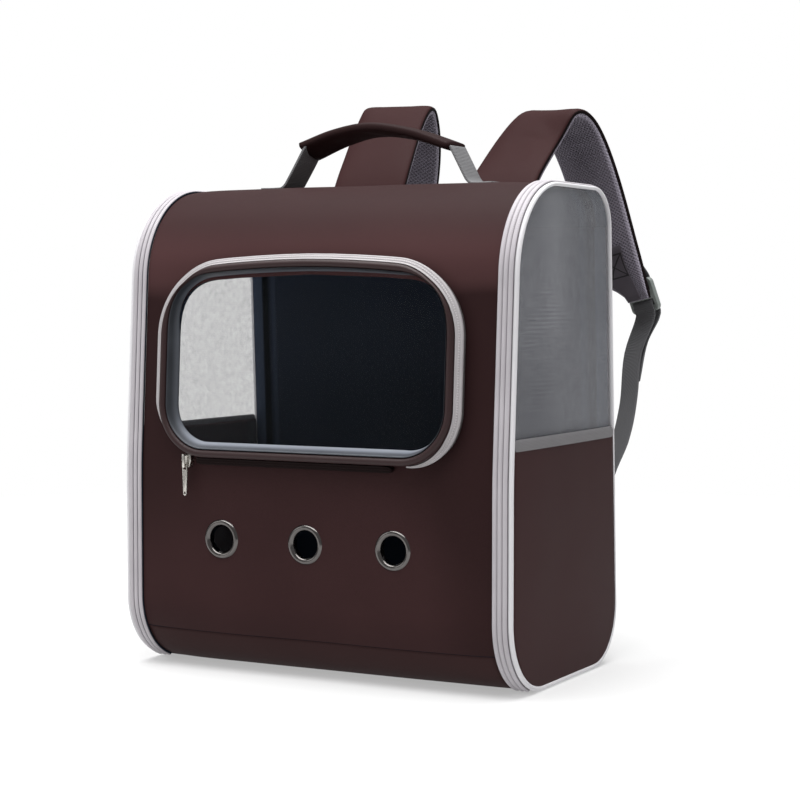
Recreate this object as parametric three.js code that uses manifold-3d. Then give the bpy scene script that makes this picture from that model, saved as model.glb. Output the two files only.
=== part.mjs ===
// Boxy pet carrier backpack: a padded cloth cabin with a zipped window in front, mesh sides with slip
// pockets, a carrying handle and two padded shoulder straps. Millimetres, +Z up, the front faces -Y,
// and the origin is the centre of the bottom face, on the surface that the bag stands on.

import * as THREE from "three";
import { mergeVertices } from "three/addons/utils/BufferGeometryUtils.js";
import Module from "manifold-3d";

const wasm = await Module();
wasm.setup();

// Driving dimensions of the cabin
const WIDTH = 360;
const DEPTH = 213;
const HEIGHT = 400;
const WALL = 3;
const GAP = 0.3;
const FRONT_LEAN = 14;
const BACK_LEAN = 20;

// Side outline of the cabin, from the lower front corner over the top to the lower back corner.
const OUTLINE = [
  { corner: "front_foot", across: -DEPTH / 2, up: 0, radius: 60, steps: 10 },
  { corner: "front_knee", across: -DEPTH / 2, up: 170, radius: 520, steps: 3 },
  { corner: "front_crown", across: -DEPTH / 2 + FRONT_LEAN, up: HEIGHT, radius: 78, steps: 9 },
  { corner: "back_crown", across: DEPTH / 2 - BACK_LEAN, up: HEIGHT, radius: 34, steps: 7 },
  { corner: "back_foot", across: DEPTH / 2, up: 0, radius: 49, steps: 7 },
];
// Steps of the lower front corner where the side zips start, and where the base is sewn to the front
const ZIP_STEP = 2;
const HEM_STEP = 7;

// Trim round each side: a round piping on the edge, then the zip that runs from foot to back
const PIPING_RADIUS = 3;
const PIPING_INSET = 0.4;
const PIPING_SIDES = 8;
const ZIP_WIDTH = 11;
const ZIP_INNER_X = WIDTH / 2 - 2 * PIPING_RADIUS - GAP - ZIP_WIDTH;
const PANEL_HALF = ZIP_INNER_X - GAP;
const FULL_HALF = WIDTH / 2 - 2 * PIPING_RADIUS - GAP;

// Cross section of the side zip: two tapes with rolled edges and the coil between them.
const SIDE_ZIP_SECTION = [
  { side: 0, out: -1.2 },
  { side: ZIP_WIDTH, out: -1.2 },
  { side: ZIP_WIDTH, out: 0.9 },
  { side: 9.9, out: 1.6 },
  { side: 8.7, out: 0.7 },
  { side: 7.3, out: 0.5 },
  { side: 5.5, out: 1.9 },
  { side: 3.7, out: 0.5 },
  { side: 2.3, out: 0.7 },
  { side: 1.1, out: 1.6 },
  { side: 0, out: 0.9 },
];

// Side wall of mesh and the pocket over its lower half, measured inwards from the widest point
const MESH_OUTSIDE = 3.2;
const MESH_THICK = 2;
const POCKET_OUTSIDE = 0.9;
const POCKET_THICK = 2;
const POCKET_TOP = 200;
const BINDING_HEIGHT = 9;
const BINDING_PROUD = 0.5;
const SIDE_INSET = PIPING_INSET + 2 * PIPING_RADIUS + GAP;

// Window: outer edge of the zip round it on the front panel. The window and the vents below it sit a little to
// the left of the middle. Each section is measured from that edge, and outwards from the panel.
const FRONT_MIDDLE = -3;
const WINDOW_HALF = 141.5;
const WINDOW_FOOT = 172;
const WINDOW_SHOULDER = 334;
const WINDOW_CROWN = 345;
const WINDOW_OUTLINE = [
  { corner: "foot_right", across: FRONT_MIDDLE + WINDOW_HALF, up: WINDOW_FOOT, radius: 50, steps: 9 },
  { corner: "foot_left", across: FRONT_MIDDLE - WINDOW_HALF, up: WINDOW_FOOT, radius: 50, steps: 9 },
  { corner: "crown_left", across: FRONT_MIDDLE - WINDOW_HALF, up: WINDOW_SHOULDER, radius: 66, steps: 8 },
  { corner: "crown_middle", across: FRONT_MIDDLE, up: WINDOW_CROWN, radius: 900, steps: 5 },
  { corner: "crown_right", across: FRONT_MIDDLE + WINDOW_HALF, up: WINDOW_SHOULDER, radius: 66, steps: 8 },
];
const WINDOW_HOLE_INSET = 15;
const PANE = { inset: 12.6, lift: 0.4, thick: 1.2 };

const WINDOW_ZIP_SECTION = [
  { side: -5.6, out: GAP },
  { side: -1.2, out: GAP },
  { side: 0, out: 6.6 },
  { side: -0.5, out: 7.6 },
  { side: -4.6, out: 12.4 },
  { side: -5.6, out: 12.2 },
];
const RIM_SECTION = [
  { side: -12.2, out: GAP },
  { side: -5.9, out: GAP },
  { side: -5.9, out: 12 },
  { side: -6.9, out: 14 },
  { side: -9, out: 14.6 },
  { side: -11.2, out: 14 },
  { side: -12.2, out: 12.4 },
];
const LIP_SECTION = [
  { side: -12.5, out: 2 },
  { side: -12.5, out: 12.6 },
  { side: -13.6, out: 13 },
  { side: -18.4, out: 3.2 },
  { side: -18.4, out: 2 },
];

// Vent eyelets in a row under the window
const EYELET_COUNT = 3;
const EYELET_SPACING = 80;
const EYELET_HEIGHT = 111;
const EYELET_HOLE = 12.4;
const EYELET_SIDES = 20;
const EYELET_SECTION = [
  { radius: 11.2, out: -4.4 },
  { radius: 15, out: -4.4 },
  { radius: 15, out: -WALL - GAP },
  { radius: 12, out: -WALL - GAP },
  { radius: 12, out: GAP },
  { radius: 16.8, out: GAP },
  { radius: 16.3, out: 1.5 },
  { radius: 14.2, out: 2.4 },
  { radius: 12.2, out: 1.8 },
  { radius: 11.2, out: 0.6 },
];

// Window zip slider with its staple-shaped bail, and the pull whose crossbar swings in the bail.
// Heights and outward distances are from the middle of the slider's face.
const SLIDER = { x: -113.5, z: 174.6, width: 9, height: 10.8, thick: 6.5 };
const BAIL = { width: 2.4, half: 5.4, bore_half: 4, reach: 4.4, bore_reach: 3 };
const PULL_PIVOT = { out: 1.5, up: -2.7 };
const PULL = { width: 6.8, shoulder: 6, foot_width: 4.6, length: 26, thick: 1.6, foot_hole: 1.1 };
const PULL_EYE = { width: 3.8, foot: 4.5 };

// Carrying handle on the top: the sewn foot and rise of one end, and the arched grip between the ends
const HANDLE_Y = 13;
const HANDLE_WEB = { width: 28, thick: 2.2, edge: 0.5, per_span: 2 };
const HANDLE_GRIP = { width: 31, thick: 9, edge: 3, per_span: 4 };
const HANDLE_FOOT_ROUTE = [
  { x: 110.5, z: HEIGHT + 1.6 },
  { x: 97.5, z: HEIGHT + 1.6 },
  { x: 88.5, z: HEIGHT + 2.8 },
  { x: 81.5, z: HEIGHT + 9 },
  { x: 77, z: HEIGHT + 22 },
  { x: 72.7, z: HEIGHT + 32.6 },
];
const HANDLE_GRIP_ROUTE = [
  { x: -71, z: HEIGHT + 34.6 },
  { x: -38, z: HEIGHT + 47 },
  { x: 0, z: HEIGHT + 51.5 },
  { x: 38, z: HEIGHT + 47 },
  { x: 71, z: HEIGHT + 34.6 },
];

// Shoulder straps: the middle line of each from the seam on the back to the tapered tip, and how many degrees
// its width is turned about the vertical. The left one is listed as its mirror image and stands higher.
// The tip is cut away on the inner edge, so its middle leans towards the outer edge.
const STRAP = { width: 70, tip_width: 24, tip_lean: 22, taper: 40, per_span: 3 };
const STRAP_PAD = { thick: 9, edge: 2.6 };
const STRAP_COVER = { thick: 2, edge: 0.6 };
const STRAP_ROUTES = {
  right: [
    { x: 66, y: 96.2, z: 338, turn: 0 },
    { x: 66, y: 97.9, z: 371.8, turn: 0 },
    { x: 63.1, y: 112.1, z: 400.7, turn: -7 },
    { x: 61.7, y: 144, z: 424.5, turn: -14 },
    { x: 65.2, y: 173.8, z: 450.8, turn: -12 },
    { x: 79, y: 193.2, z: 471.5, turn: -12 },
    { x: 90.1, y: 212.5, z: 458.2, turn: -25 },
    { x: 105.7, y: 227.5, z: 407.4, turn: -30 },
    { x: 117.8, y: 232.5, z: 352.5, turn: -26 },
    { x: 129.5, y: 234.1, z: 301.5, turn: -19 },
  ],
  left: [
    { x: 66, y: 96.2, z: 338, turn: 0 },
    { x: 66, y: 97.9, z: 372, turn: 0 },
    { x: 66.6, y: 113.1, z: 406.9, turn: -2 },
    { x: 72.9, y: 143.7, z: 438.6, turn: 3 },
    { x: 78.9, y: 175, z: 468.7, turn: 4 },
    { x: 80.4, y: 197.7, z: 482.5, turn: 6 },
    { x: 85.6, y: 219, z: 454.4, turn: 0 },
    { x: 99.9, y: 231.8, z: 401.8, turn: -9 },
    { x: 115.6, y: 236, z: 350.8, turn: -14 },
    { x: 131, y: 236, z: 304, turn: -17 },
  ],
};
const PATCH = { width: 44, thick: 1.2, steps: 3 };

// Adjuster: a two-slot buckle that hangs on the outside of a strap's tip by a sewn loop of webbing.
// Its middle is given from the tip, across and along the strap and outwards; its lower end tilts outwards.
const BUCKLE = { width: 32, length: 31, thick: 4.6, slot_width: 24.6, slot_from: 4, slot_to: 10, corner: 5 };
const BUCKLE_PLACE = { across: -7.5, along: -4, out: 14.5, tilt: 0.15 };
const WEBBING = { width: 23, thick: 1.6, per_span: 2 };
// Where webbing turns round an end bar of the buckle, from its middle: along its length, and outwards
const BAR_TURN = [
  { along: 17, out: -4 },
  { along: 10.6, out: -3.5 },
  { along: 8, out: -2.2 },
  { along: 7.1, out: 0 },
  { along: 8, out: 2.2 },
  { along: 10.6, out: 3.5 },
  { along: 17, out: 4 },
];
// From the lower back corner up to the buckle, then its loose tail. Level is how much of the turn of the
// strap's tip is taken out of the webbing's width.
const WEBBING_ROUTE = [
  { x: 156, y: 104.6, z: 66, level: 1 },
  { x: 156, y: 103.5, z: 92, level: 1 },
  { x: 155.5, y: 112, z: 122, level: 0.8 },
  { x: 153, y: 137.6, z: 151.7, level: 0.2 },
  { x: 150, y: 182, z: 182, level: -0.3 },
  { x: 146, y: 217, z: 216, level: -0.4 },
  { x: 143.5, y: 237.5, z: 258, level: -0.2 },
];
const TAIL_ROUTE = [
  { x: 146.5, y: 246.5, z: 268, level: -0.2 },
  { x: 147, y: 233, z: 231, level: -0.4 },
];

// Materials, in the colours of the cloth, mesh, trim, metal and plastic
const finish = (color, roughness, metalness = 0, more = {}) =>
  new THREE.MeshStandardMaterial({ color, roughness, metalness, ...more });
const BROWN = finish(0x47302f, 0.75);
const DARK_BROWN = finish(0x38211f, 0.7);
const MESH_GREY = finish(0x6c6c70, 0.9);
const PAD_GREY = finish(0x6b6570, 0.95);
const TRIM_GREY = finish(0xc9c4c8, 0.7);
const LIP_GREY = finish(0x8d939d, 0.6);
const WEBBING_GREY = finish(0x5f5f61, 0.85);
const CLEAR = finish(0xdfe6ea, 0.08, 0, { transparent: true, opacity: 0.35 });
const STEEL = finish(0xb9b7b2, 0.25, 1);
const GUNMETAL = finish(0x8b857f, 0.28, 1);
const BUCKLE_GREY = finish(0x7d8481, 0.5);

const X_AXIS = new THREE.Vector3(1, 0, 0);
const Y_AXIS = new THREE.Vector3(0, 1, 0);
const Z_AXIS = new THREE.Vector3(0, 0, 1);
const YZ_PLANE = new THREE.Matrix4().makeBasis(Y_AXIS, Z_AXIS, X_AXIS);

function addMesh(group, name, geometry, material) {
  const mesh = new THREE.Mesh(geometry, material.clone());
  mesh.name = name;
  group.add(mesh);
  return mesh;
}

function toSolid(geometry) {
  const bare = geometry.clone();
  bare.deleteAttribute("normal");
  bare.deleteAttribute("uv");
  const merged = mergeVertices(bare, 1e-3);
  const vertProperties = new Float32Array(merged.attributes.position.array);
  const triVerts = new Uint32Array(merged.index.array);
  return new wasm.Manifold(new wasm.Mesh({ numProp: 3, vertProperties, triVerts }));
}

function toGeometry(solid) {
  const { vertProperties, triVerts } = solid.getMesh();
  return new THREE.BufferGeometry()
    .setAttribute("position", new THREE.BufferAttribute(vertProperties, 3))
    .setIndex(new THREE.BufferAttribute(triVerts, 1));
}

// Stations round a closed convex outline with rounded corners, by corner name: points and outward normals.
function roundedArcs(corners) {
  const count = corners.length;
  const vertex = (i) => {
    const { across, up } = corners[(i + count) % count];
    return new THREE.Vector2(across, up);
  };
  const arcs = corners.map(({ corner, radius, steps }, i) => {
    const here = vertex(i);
    const back = vertex(i - 1).sub(here).normalize();
    const ahead = vertex(i + 1).sub(here).normalize();
    const half = Math.acos(back.dot(ahead)) / 2;
    const bisector = back.clone().add(ahead).normalize();
    const centre = here.clone().addScaledVector(bisector, radius / Math.sin(half));
    const first = here.clone().addScaledVector(back, radius / Math.tan(half)).sub(centre).angle();
    const turn = Math.sign(ahead.cross(back)) * (Math.PI - 2 * half);
    const stations = Array.from({ length: steps + 1 }, (_, k) => {
      const angle = first + (turn * k) / steps;
      const normal = new THREE.Vector2(Math.cos(angle), Math.sin(angle));
      return { point: centre.clone().addScaledVector(normal, radius), normal };
    });
    return [corner, stations];
  });
  return Object.fromEntries(arcs);
}

// The same station moved along its clockwise path.
function slideStation({ point, normal }, distance) {
  const along = new THREE.Vector2(normal.y, -normal.x);
  return { point: point.clone().addScaledVector(along, distance), normal };
}

function insetPoints(stations, inset) {
  return stations.map(({ point, normal }) => point.clone().addScaledVector(normal, -inset));
}

// A shape drawn in the (y, z) plane and extruded along x from x0 to x1.
function extrudeAlongX(points, x0, x1) {
  const options = { depth: x1 - x0, bevelEnabled: false };
  return new THREE.ExtrudeGeometry(new THREE.Shape(points), options)
    .applyMatrix4(YZ_PLANE)
    .translate(x0, 0, 0);
}

// A wall of the cabin: a stretch of its outline between two depths below the outside.
function cabinWall(stations, outside, inside, half) {
  const outer = insetPoints(stations, outside);
  const inner = insetPoints(stations, inside).reverse();
  return extrudeAlongX([...outer, ...inner], -half, half);
}

function signedVolume(positions, index) {
  const [a, b, c] = [new THREE.Vector3(), new THREE.Vector3(), new THREE.Vector3()];
  let sum = 0;
  for (let i = 0; i < index.length; i += 3) {
    a.fromArray(positions, 3 * index[i]);
    b.fromArray(positions, 3 * index[i + 1]);
    c.fromArray(positions, 3 * index[i + 2]);
    sum += a.dot(b.cross(c));
  }
  return sum / 6;
}

// A closed section carried along stations, each with a centre, a side axis, an out axis and an optional scale
// of the section's width. An open run gets flat end caps. Facing sides of stacked sweeps are split along the
// same diagonal, so that they stay parallel where the run twists.
function sweep(stations, section, closed = false) {
  const size = section.length;
  const positions = stations.flatMap(({ centre, side, out, scale = 1 }) =>
    section.flatMap((corner) =>
      centre
        .clone()
        .addScaledVector(side, corner.side * scale)
        .addScaledVector(out, corner.out)
        .toArray(),
    ),
  );
  const index = [];
  const spans = closed ? stations.length : stations.length - 1;
  for (let i = 0; i < spans; i++) {
    for (let k = 0; k < size; k++) {
      const here = i * size;
      const next = ((i + 1) % stations.length) * size;
      const far = (k + 1) % size;
      const across = section[far].side - section[k].side || section[far].out - section[k].out;
      if (across > 0) index.push(here + k, here + far, next + far, here + k, next + far, next + k);
      else index.push(here + k, here + far, next + k, here + far, next + far, next + k);
    }
  }
  if (!closed) {
    const contour = section.map(({ side, out }) => new THREE.Vector2(side, out));
    const last = (stations.length - 1) * size;
    for (const [a, b, c] of THREE.ShapeUtils.triangulateShape(contour, [])) {
      index.push(a, c, b, last + a, last + b, last + c);
    }
  }
  if (signedVolume(positions, index) < 0) index.reverse();
  return new THREE.BufferGeometry()
    .setAttribute("position", new THREE.Float32BufferAttribute(positions, 3))
    .setIndex(index);
}

// A flat strip's section with eased edges, from one depth to another.
function stripSection(width, low, high, edge) {
  const half = width / 2;
  return [
    { side: -half + edge, out: low },
    { side: half - edge, out: low },
    { side: half, out: low + edge },
    { side: half, out: high - edge },
    { side: half - edge, out: high },
    { side: -half + edge, out: high },
    { side: -half, out: high - edge },
    { side: -half, out: low + edge },
  ];
}

// Stations along a smooth route, several to each span between its rows. The side axis is kept as near as it can
// be to a given direction, turned about the vertical by the row's turn. Each also holds its way to the end.
function routeStations(rows, perSpan, lateral) {
  const points = rows.map(({ x, y, z }) => new THREE.Vector3(x, y, z));
  const turns = rows.map(({ turn = 0 }) => turn);
  const curve = new THREE.CatmullRomCurve3(points, false, "centripetal");
  const steps = (rows.length - 1) * perSpan;
  const stations = Array.from({ length: steps + 1 }, (_, i) => {
    const row = Math.min(Math.floor(i / perSpan), rows.length - 2);
    const turn = THREE.MathUtils.lerp(turns[row], turns[row + 1], i / perSpan - row);
    const along = curve.getTangent(i / steps);
    const wanted = lateral.clone().applyAxisAngle(Z_AXIS, THREE.MathUtils.degToRad(turn));
    const side = wanted.addScaledVector(along, -along.dot(wanted)).normalize();
    return { centre: curve.getPoint(i / steps), along, side, out: side.clone().cross(along), turn, left: 0 };
  });
  for (let i = steps - 1; i >= 0; i--) {
    stations[i].left = stations[i + 1].left + stations[i].centre.distanceTo(stations[i + 1].centre);
  }
  return stations;
}

// Outline of the cabin, and the stretches of it that the panels and the zip follow
const cabin = roundedArcs(OUTLINE);
const cabinRing = OUTLINE.flatMap(({ corner }) => cabin[corner]);
const hem = cabin.front_foot[HEM_STEP];
const belowZip = cabin.front_foot.slice(0, ZIP_STEP + 1);
const belowHem = cabin.front_foot.slice(ZIP_STEP, HEM_STEP + 1);
const aboveHem = cabin.front_foot.slice(HEM_STEP + 1);
const backSeam = cabin.back_crown.at(-1);
const frontTopRun = [
  slideStation(hem, GAP),
  ...aboveHem,
  ...cabin.front_knee,
  ...cabin.front_crown,
  ...cabin.back_crown.slice(0, -1),
  slideStation(backSeam, -GAP),
];
const backRun = [backSeam, slideStation(cabin.back_foot[0], -GAP)];
const footRun = [...cabin.back_foot, ...belowZip];
const frontFootRun = [belowZip.at(-2), ...belowHem];
const sideZipRun = [slideStation(belowHem[0], GAP), ...belowHem.slice(1), ...frontTopRun.slice(1)];

// Where the front panel's face is at a height, with its outward normal.
function frontAt(height) {
  const run = [...aboveHem, ...cabin.front_knee, ...cabin.front_crown];
  const i = run.findIndex(({ point }, k) => k > 0 && point.y >= height);
  const [low, high] = [run[i - 1], run[i]];
  const share = (height - low.point.y) / (high.point.y - low.point.y);
  const point = low.point.clone().lerp(high.point, share);
  const normal = low.normal.clone().lerp(high.normal, share).normalize();
  return { y: point.x, out: new THREE.Vector3(0, normal.x, normal.y) };
}

// Stations of the window's outline on the front panel, side axis pointing away from the window's middle.
const windowArcs = roundedArcs(WINDOW_OUTLINE);
const windowRing = WINDOW_OUTLINE.flatMap(({ corner }) => windowArcs[corner]);
const onFront = ({ point, normal }) => {
  const { y, out } = frontAt(point.y);
  const rise = X_AXIS.clone().cross(out).negate();
  const side = X_AXIS.clone().multiplyScalar(normal.x).addScaledVector(rise, normal.y);
  return { centre: new THREE.Vector3(point.x, y, point.y), side, out };
};

// A prism through the front, of the window's outline taken in by an inset.
function windowPrism(inset) {
  const points = insetPoints(windowRing, inset).map(({ x, y }) => new THREE.Vector2(x, y));
  const prism = new THREE.ExtrudeGeometry(new THREE.Shape(points), { depth: DEPTH / 2, bevelEnabled: false });
  return toSolid(prism.rotateX(Math.PI / 2).translate(0, -DEPTH / 4, 0));
}

const eyeletX = (i) => FRONT_MIDDLE + (i - (EYELET_COUNT - 1) / 2) * EYELET_SPACING;
const EYELET_FRONT = -DEPTH / 2;

function frontTopPanel() {
  let panel = toSolid(cabinWall(frontTopRun, 0, WALL, PANEL_HALF));
  panel = panel.subtract(windowPrism(WINDOW_HOLE_INSET));
  for (let i = 0; i < EYELET_COUNT; i++) {
    const hole = new THREE.CylinderGeometry(EYELET_HOLE, EYELET_HOLE, 4 * WALL, EYELET_SIDES);
    panel = panel.subtract(toSolid(hole.translate(eyeletX(i), EYELET_FRONT, EYELET_HEIGHT)));
  }
  return toGeometry(panel);
}

function basePanel() {
  const foot = toSolid(cabinWall(footRun, 0, WALL, FULL_HALF));
  return toGeometry(foot.add(toSolid(cabinWall(frontFootRun, 0, WALL, PANEL_HALF))));
}

function windowPane() {
  const sheet = toSolid(cabinWall(frontTopRun, -PANE.lift - PANE.thick, -PANE.lift, PANEL_HALF));
  return toGeometry(sheet.intersect(windowPrism(PANE.inset)));
}

// The zip runs from the slider at the lower left over the top to its stop at the lower right.
function windowZip() {
  const { foot_left, crown_left, crown_middle, crown_right, foot_right } = windowArcs;
  const start = foot_left.filter(({ point }) => point.x < SLIDER.x - SLIDER.width / 2 - 1);
  const run = [...start, ...crown_left, ...crown_middle, ...crown_right, ...foot_right];
  return sweep(run.map(onFront), WINDOW_ZIP_SECTION);
}

// The cloth that the window folds down on, along its foot from the zip's stop to the slider.
function windowHinge() {
  const { foot_left, foot_right } = windowArcs;
  const end = foot_left.filter(({ point }) => point.x > SLIDER.x + SLIDER.width / 2 + 1);
  const run = [slideStation(foot_right.at(-1), GAP), ...end];
  return sweep(run.map(onFront), WINDOW_ZIP_SECTION);
}

function eyelet() {
  const section = EYELET_SECTION.map(({ radius, out }) => new THREE.Vector2(radius, -out)).reverse();
  return new THREE.LatheGeometry([...section, section[0]], EYELET_SIDES);
}

// A flat plate of the side's outline, between two distances from the widest point and two heights.
function sidePlate(outside, thick, bottom, top) {
  const x1 = WIDTH / 2 - outside;
  const plate = toSolid(extrudeAlongX(insetPoints(cabinRing, SIDE_INSET), x1 - thick, x1));
  const window = new THREE.BoxGeometry(WIDTH, 2 * DEPTH, top - bottom);
  return toGeometry(plate.intersect(toSolid(window.translate(WIDTH / 2, 0, (top + bottom) / 2))));
}

function piping() {
  const inset = PIPING_INSET + PIPING_RADIUS;
  const middle = WIDTH / 2 - PIPING_RADIUS;
  const section = Array.from({ length: PIPING_SIDES }, (_, k) => {
    const angle = ((k + 0.5) / PIPING_SIDES) * 2 * Math.PI;
    return { side: PIPING_RADIUS * Math.cos(angle), out: PIPING_RADIUS * Math.sin(angle) };
  });
  const stations = cabinRing.map(({ point, normal }) => ({
    centre: new THREE.Vector3(middle, point.x - normal.x * inset, point.y - normal.y * inset),
    side: X_AXIS,
    out: new THREE.Vector3(0, normal.x, normal.y),
  }));
  return sweep(stations, section, true);
}

function sideZip() {
  const stations = sideZipRun.map(({ point, normal }) => ({
    centre: new THREE.Vector3(ZIP_INNER_X, point.x, point.y),
    side: X_AXIS,
    out: new THREE.Vector3(0, normal.x, normal.y),
  }));
  return sweep(stations, SIDE_ZIP_SECTION);
}

// Pieces that lie in the handle's upright plane: rows give x and z, and the width runs along y.
function handlePiece(rows, { width, thick, edge, per_span }) {
  const route = rows.map(({ x, z }) => ({ x, y: HANDLE_Y, z }));
  return sweep(routeStations(route, per_span, Y_AXIS), stripSection(width, -thick / 2, thick / 2, edge));
}

// Slider and pull, drawn about the middle of the slider's face, with the front towards -Y
function slider() {
  const half = { x: SLIDER.width / 2, z: SLIDER.height / 2 };
  const shield = new THREE.Shape([
    new THREE.Vector2(-half.x, half.z),
    new THREE.Vector2(-half.x, 0),
    new THREE.Vector2(-half.x * 0.6, -half.z),
    new THREE.Vector2(half.x * 0.6, -half.z),
    new THREE.Vector2(half.x, 0),
    new THREE.Vector2(half.x, half.z),
  ]);
  const body = new THREE.ExtrudeGeometry(shield, { depth: SLIDER.thick, bevelEnabled: false })
    .rotateX(Math.PI / 2)
    .translate(0, SLIDER.thick, 0);
  const root = SLIDER.thick / 2;
  const staple = [
    new THREE.Vector2(root, BAIL.half),
    new THREE.Vector2(-BAIL.reach, BAIL.half),
    new THREE.Vector2(-BAIL.reach, -BAIL.half),
    new THREE.Vector2(root, -BAIL.half),
    new THREE.Vector2(root, -BAIL.bore_half),
    new THREE.Vector2(-BAIL.bore_reach, -BAIL.bore_half),
    new THREE.Vector2(-BAIL.bore_reach, BAIL.bore_half),
    new THREE.Vector2(root, BAIL.bore_half),
  ];
  const bail = extrudeAlongX(staple, -BAIL.width / 2, BAIL.width / 2);
  return toGeometry(toSolid(body).add(toSolid(bail)));
}

// A tapered tab below its crossbar, with an eye that the bail passes through and a small hole at its foot.
function pull() {
  const [top, foot] = [PULL.width / 2, PULL.foot_width / 2];
  const bar = PULL.thick / 2;
  const low = foot - PULL.length;
  const outline = new THREE.Shape();
  outline.moveTo(-top, bar);
  outline.lineTo(-top, -PULL.shoulder);
  outline.lineTo(-foot, low);
  outline.absarc(0, low, foot, Math.PI, 2 * Math.PI, false);
  outline.lineTo(top, -PULL.shoulder);
  outline.lineTo(top, bar);
  outline.closePath();
  const eye = PULL_EYE.width / 2;
  const eyeCorners = [
    new THREE.Vector2(-eye, -bar),
    new THREE.Vector2(eye, -bar),
    new THREE.Vector2(eye, -PULL_EYE.foot),
    new THREE.Vector2(-eye, -PULL_EYE.foot),
  ];
  outline.holes.push(new THREE.Path(eyeCorners));
  outline.holes.push(new THREE.Path().absarc(0, low, PULL.foot_hole, 0, 2 * Math.PI, true));
  return new THREE.ExtrudeGeometry(outline, { depth: PULL.thick, bevelEnabled: false, curveSegments: 8 })
    .rotateX(Math.PI / 2)
    .translate(0, bar, 0);
}

// Shoulder straps, drawn for the right side; the out axis points from the air mesh pad to the cover
const strapHalf = (STRAP_PAD.thick + GAP + STRAP_COVER.thick) / 2;
const strapTip = STRAP.tip_width / STRAP.width;
const strapStations = (rows) =>
  routeStations(rows, STRAP.per_span, X_AXIS).map((station) => {
    const full = Math.min(1, station.left / STRAP.taper);
    const lean = STRAP.tip_lean * (1 - full);
    const centre = station.centre.clone().addScaledVector(station.side, lean);
    return { ...station, centre, lean, scale: strapTip + (1 - strapTip) * full };
  });

const strapPad = (stations) =>
  sweep(stations, stripSection(STRAP.width, -strapHalf, -strapHalf + STRAP_PAD.thick, STRAP_PAD.edge));
const strapCover = (stations) =>
  sweep(stations, stripSection(STRAP.width, strapHalf - STRAP_COVER.thick, strapHalf, STRAP_COVER.edge));
const strapPatch = (stations) => {
  const high = -strapHalf - GAP;
  const section = stripSection(PATCH.width, high - PATCH.thick, high, PATCH.thick / 3);
  return sweep(stations.slice(-PATCH.steps - 1), section);
};

// Middle and axes of the buckle on a strap's tip.
function buckleFrame({ centre, side, along, out, turn }) {
  const { across, along: down, out: lift, tilt } = BUCKLE_PLACE;
  const tilted = along.clone().applyAxisAngle(side, tilt);
  return {
    centre: centre
      .clone()
      .addScaledVector(side, across)
      .addScaledVector(along, down)
      .addScaledVector(out, lift),
    side,
    along: tilted,
    out: side.clone().cross(tilted),
    turn,
  };
}

function buckle(frame) {
  const [x, y, r] = [BUCKLE.width / 2, BUCKLE.length / 2, BUCKLE.corner];
  const shape = new THREE.Shape();
  shape.absarc(x - r, y - r, r, 0, Math.PI / 2, false);
  shape.absarc(r - x, y - r, r, Math.PI / 2, Math.PI, false);
  shape.absarc(r - x, r - y, r, Math.PI, 1.5 * Math.PI, false);
  shape.absarc(x - r, r - y, r, 1.5 * Math.PI, 2 * Math.PI, false);
  for (const end of [-1, 1]) {
    const corners = [
      new THREE.Vector2(-BUCKLE.slot_width / 2, end * BUCKLE.slot_from),
      new THREE.Vector2(BUCKLE.slot_width / 2, end * BUCKLE.slot_from),
      new THREE.Vector2(BUCKLE.slot_width / 2, end * BUCKLE.slot_to),
      new THREE.Vector2(-BUCKLE.slot_width / 2, end * BUCKLE.slot_to),
    ];
    shape.holes.push(new THREE.Path(corners));
  }
  const placed = new THREE.Matrix4().makeBasis(frame.side, frame.along, frame.out).setPosition(frame.centre);
  return new THREE.ExtrudeGeometry(shape, { depth: BUCKLE.thick, bevelEnabled: false, curveSegments: 4 })
    .translate(0, 0, -BUCKLE.thick / 2)
    .applyMatrix4(placed);
}

// Route round one end bar of the buckle: end is 1 for the lower bar and -1 for the upper.
const barTurn = (frame, end) =>
  BAR_TURN.map(({ along, out }) =>
    frame.centre
      .clone()
      .addScaledVector(frame.along, end * along)
      .addScaledVector(frame.out, out),
  );
const flatWebbing = stripSection(WEBBING.width, -WEBBING.thick / 2, WEBBING.thick / 2, WEBBING.thick / 4);

// The loop lies on the strap's cover in line with the buckle, turns round the upper bar and comes back over itself.
function buckleLoop(frame, stations) {
  const lift = strapHalf + 4 * GAP + WEBBING.thick / 2;
  const layer = WEBBING.thick + 2 * GAP;
  const [far, near] = stations.slice(-4, -2);
  const aside = STRAP.tip_lean + BUCKLE_PLACE.across;
  const over = ({ centre, side, out, turn, lean }, height) => ({
    ...centre.clone().addScaledVector(side, aside - lean).addScaledVector(out, height),
    turn: turn - frame.turn,
  });
  const route = [
    over(far, lift),
    over(near, lift),
    ...barTurn(frame, -1),
    over(near, lift + layer),
    over(far, lift + layer),
  ];
  return sweep(routeStations(route, WEBBING.per_span, frame.side), flatWebbing);
}

// The webbing rises from the lower back corner, turns over the lower bar and ends in a loose tail.
function webbing(frame) {
  const levelled = ({ level, ...place }) => ({ ...place, turn: -level * frame.turn });
  const route = [...WEBBING_ROUTE.map(levelled), ...barTurn(frame, 1), ...TAIL_ROUTE.map(levelled)];
  return sweep(routeStations(route, WEBBING.per_span, frame.side), flatWebbing);
}

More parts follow.
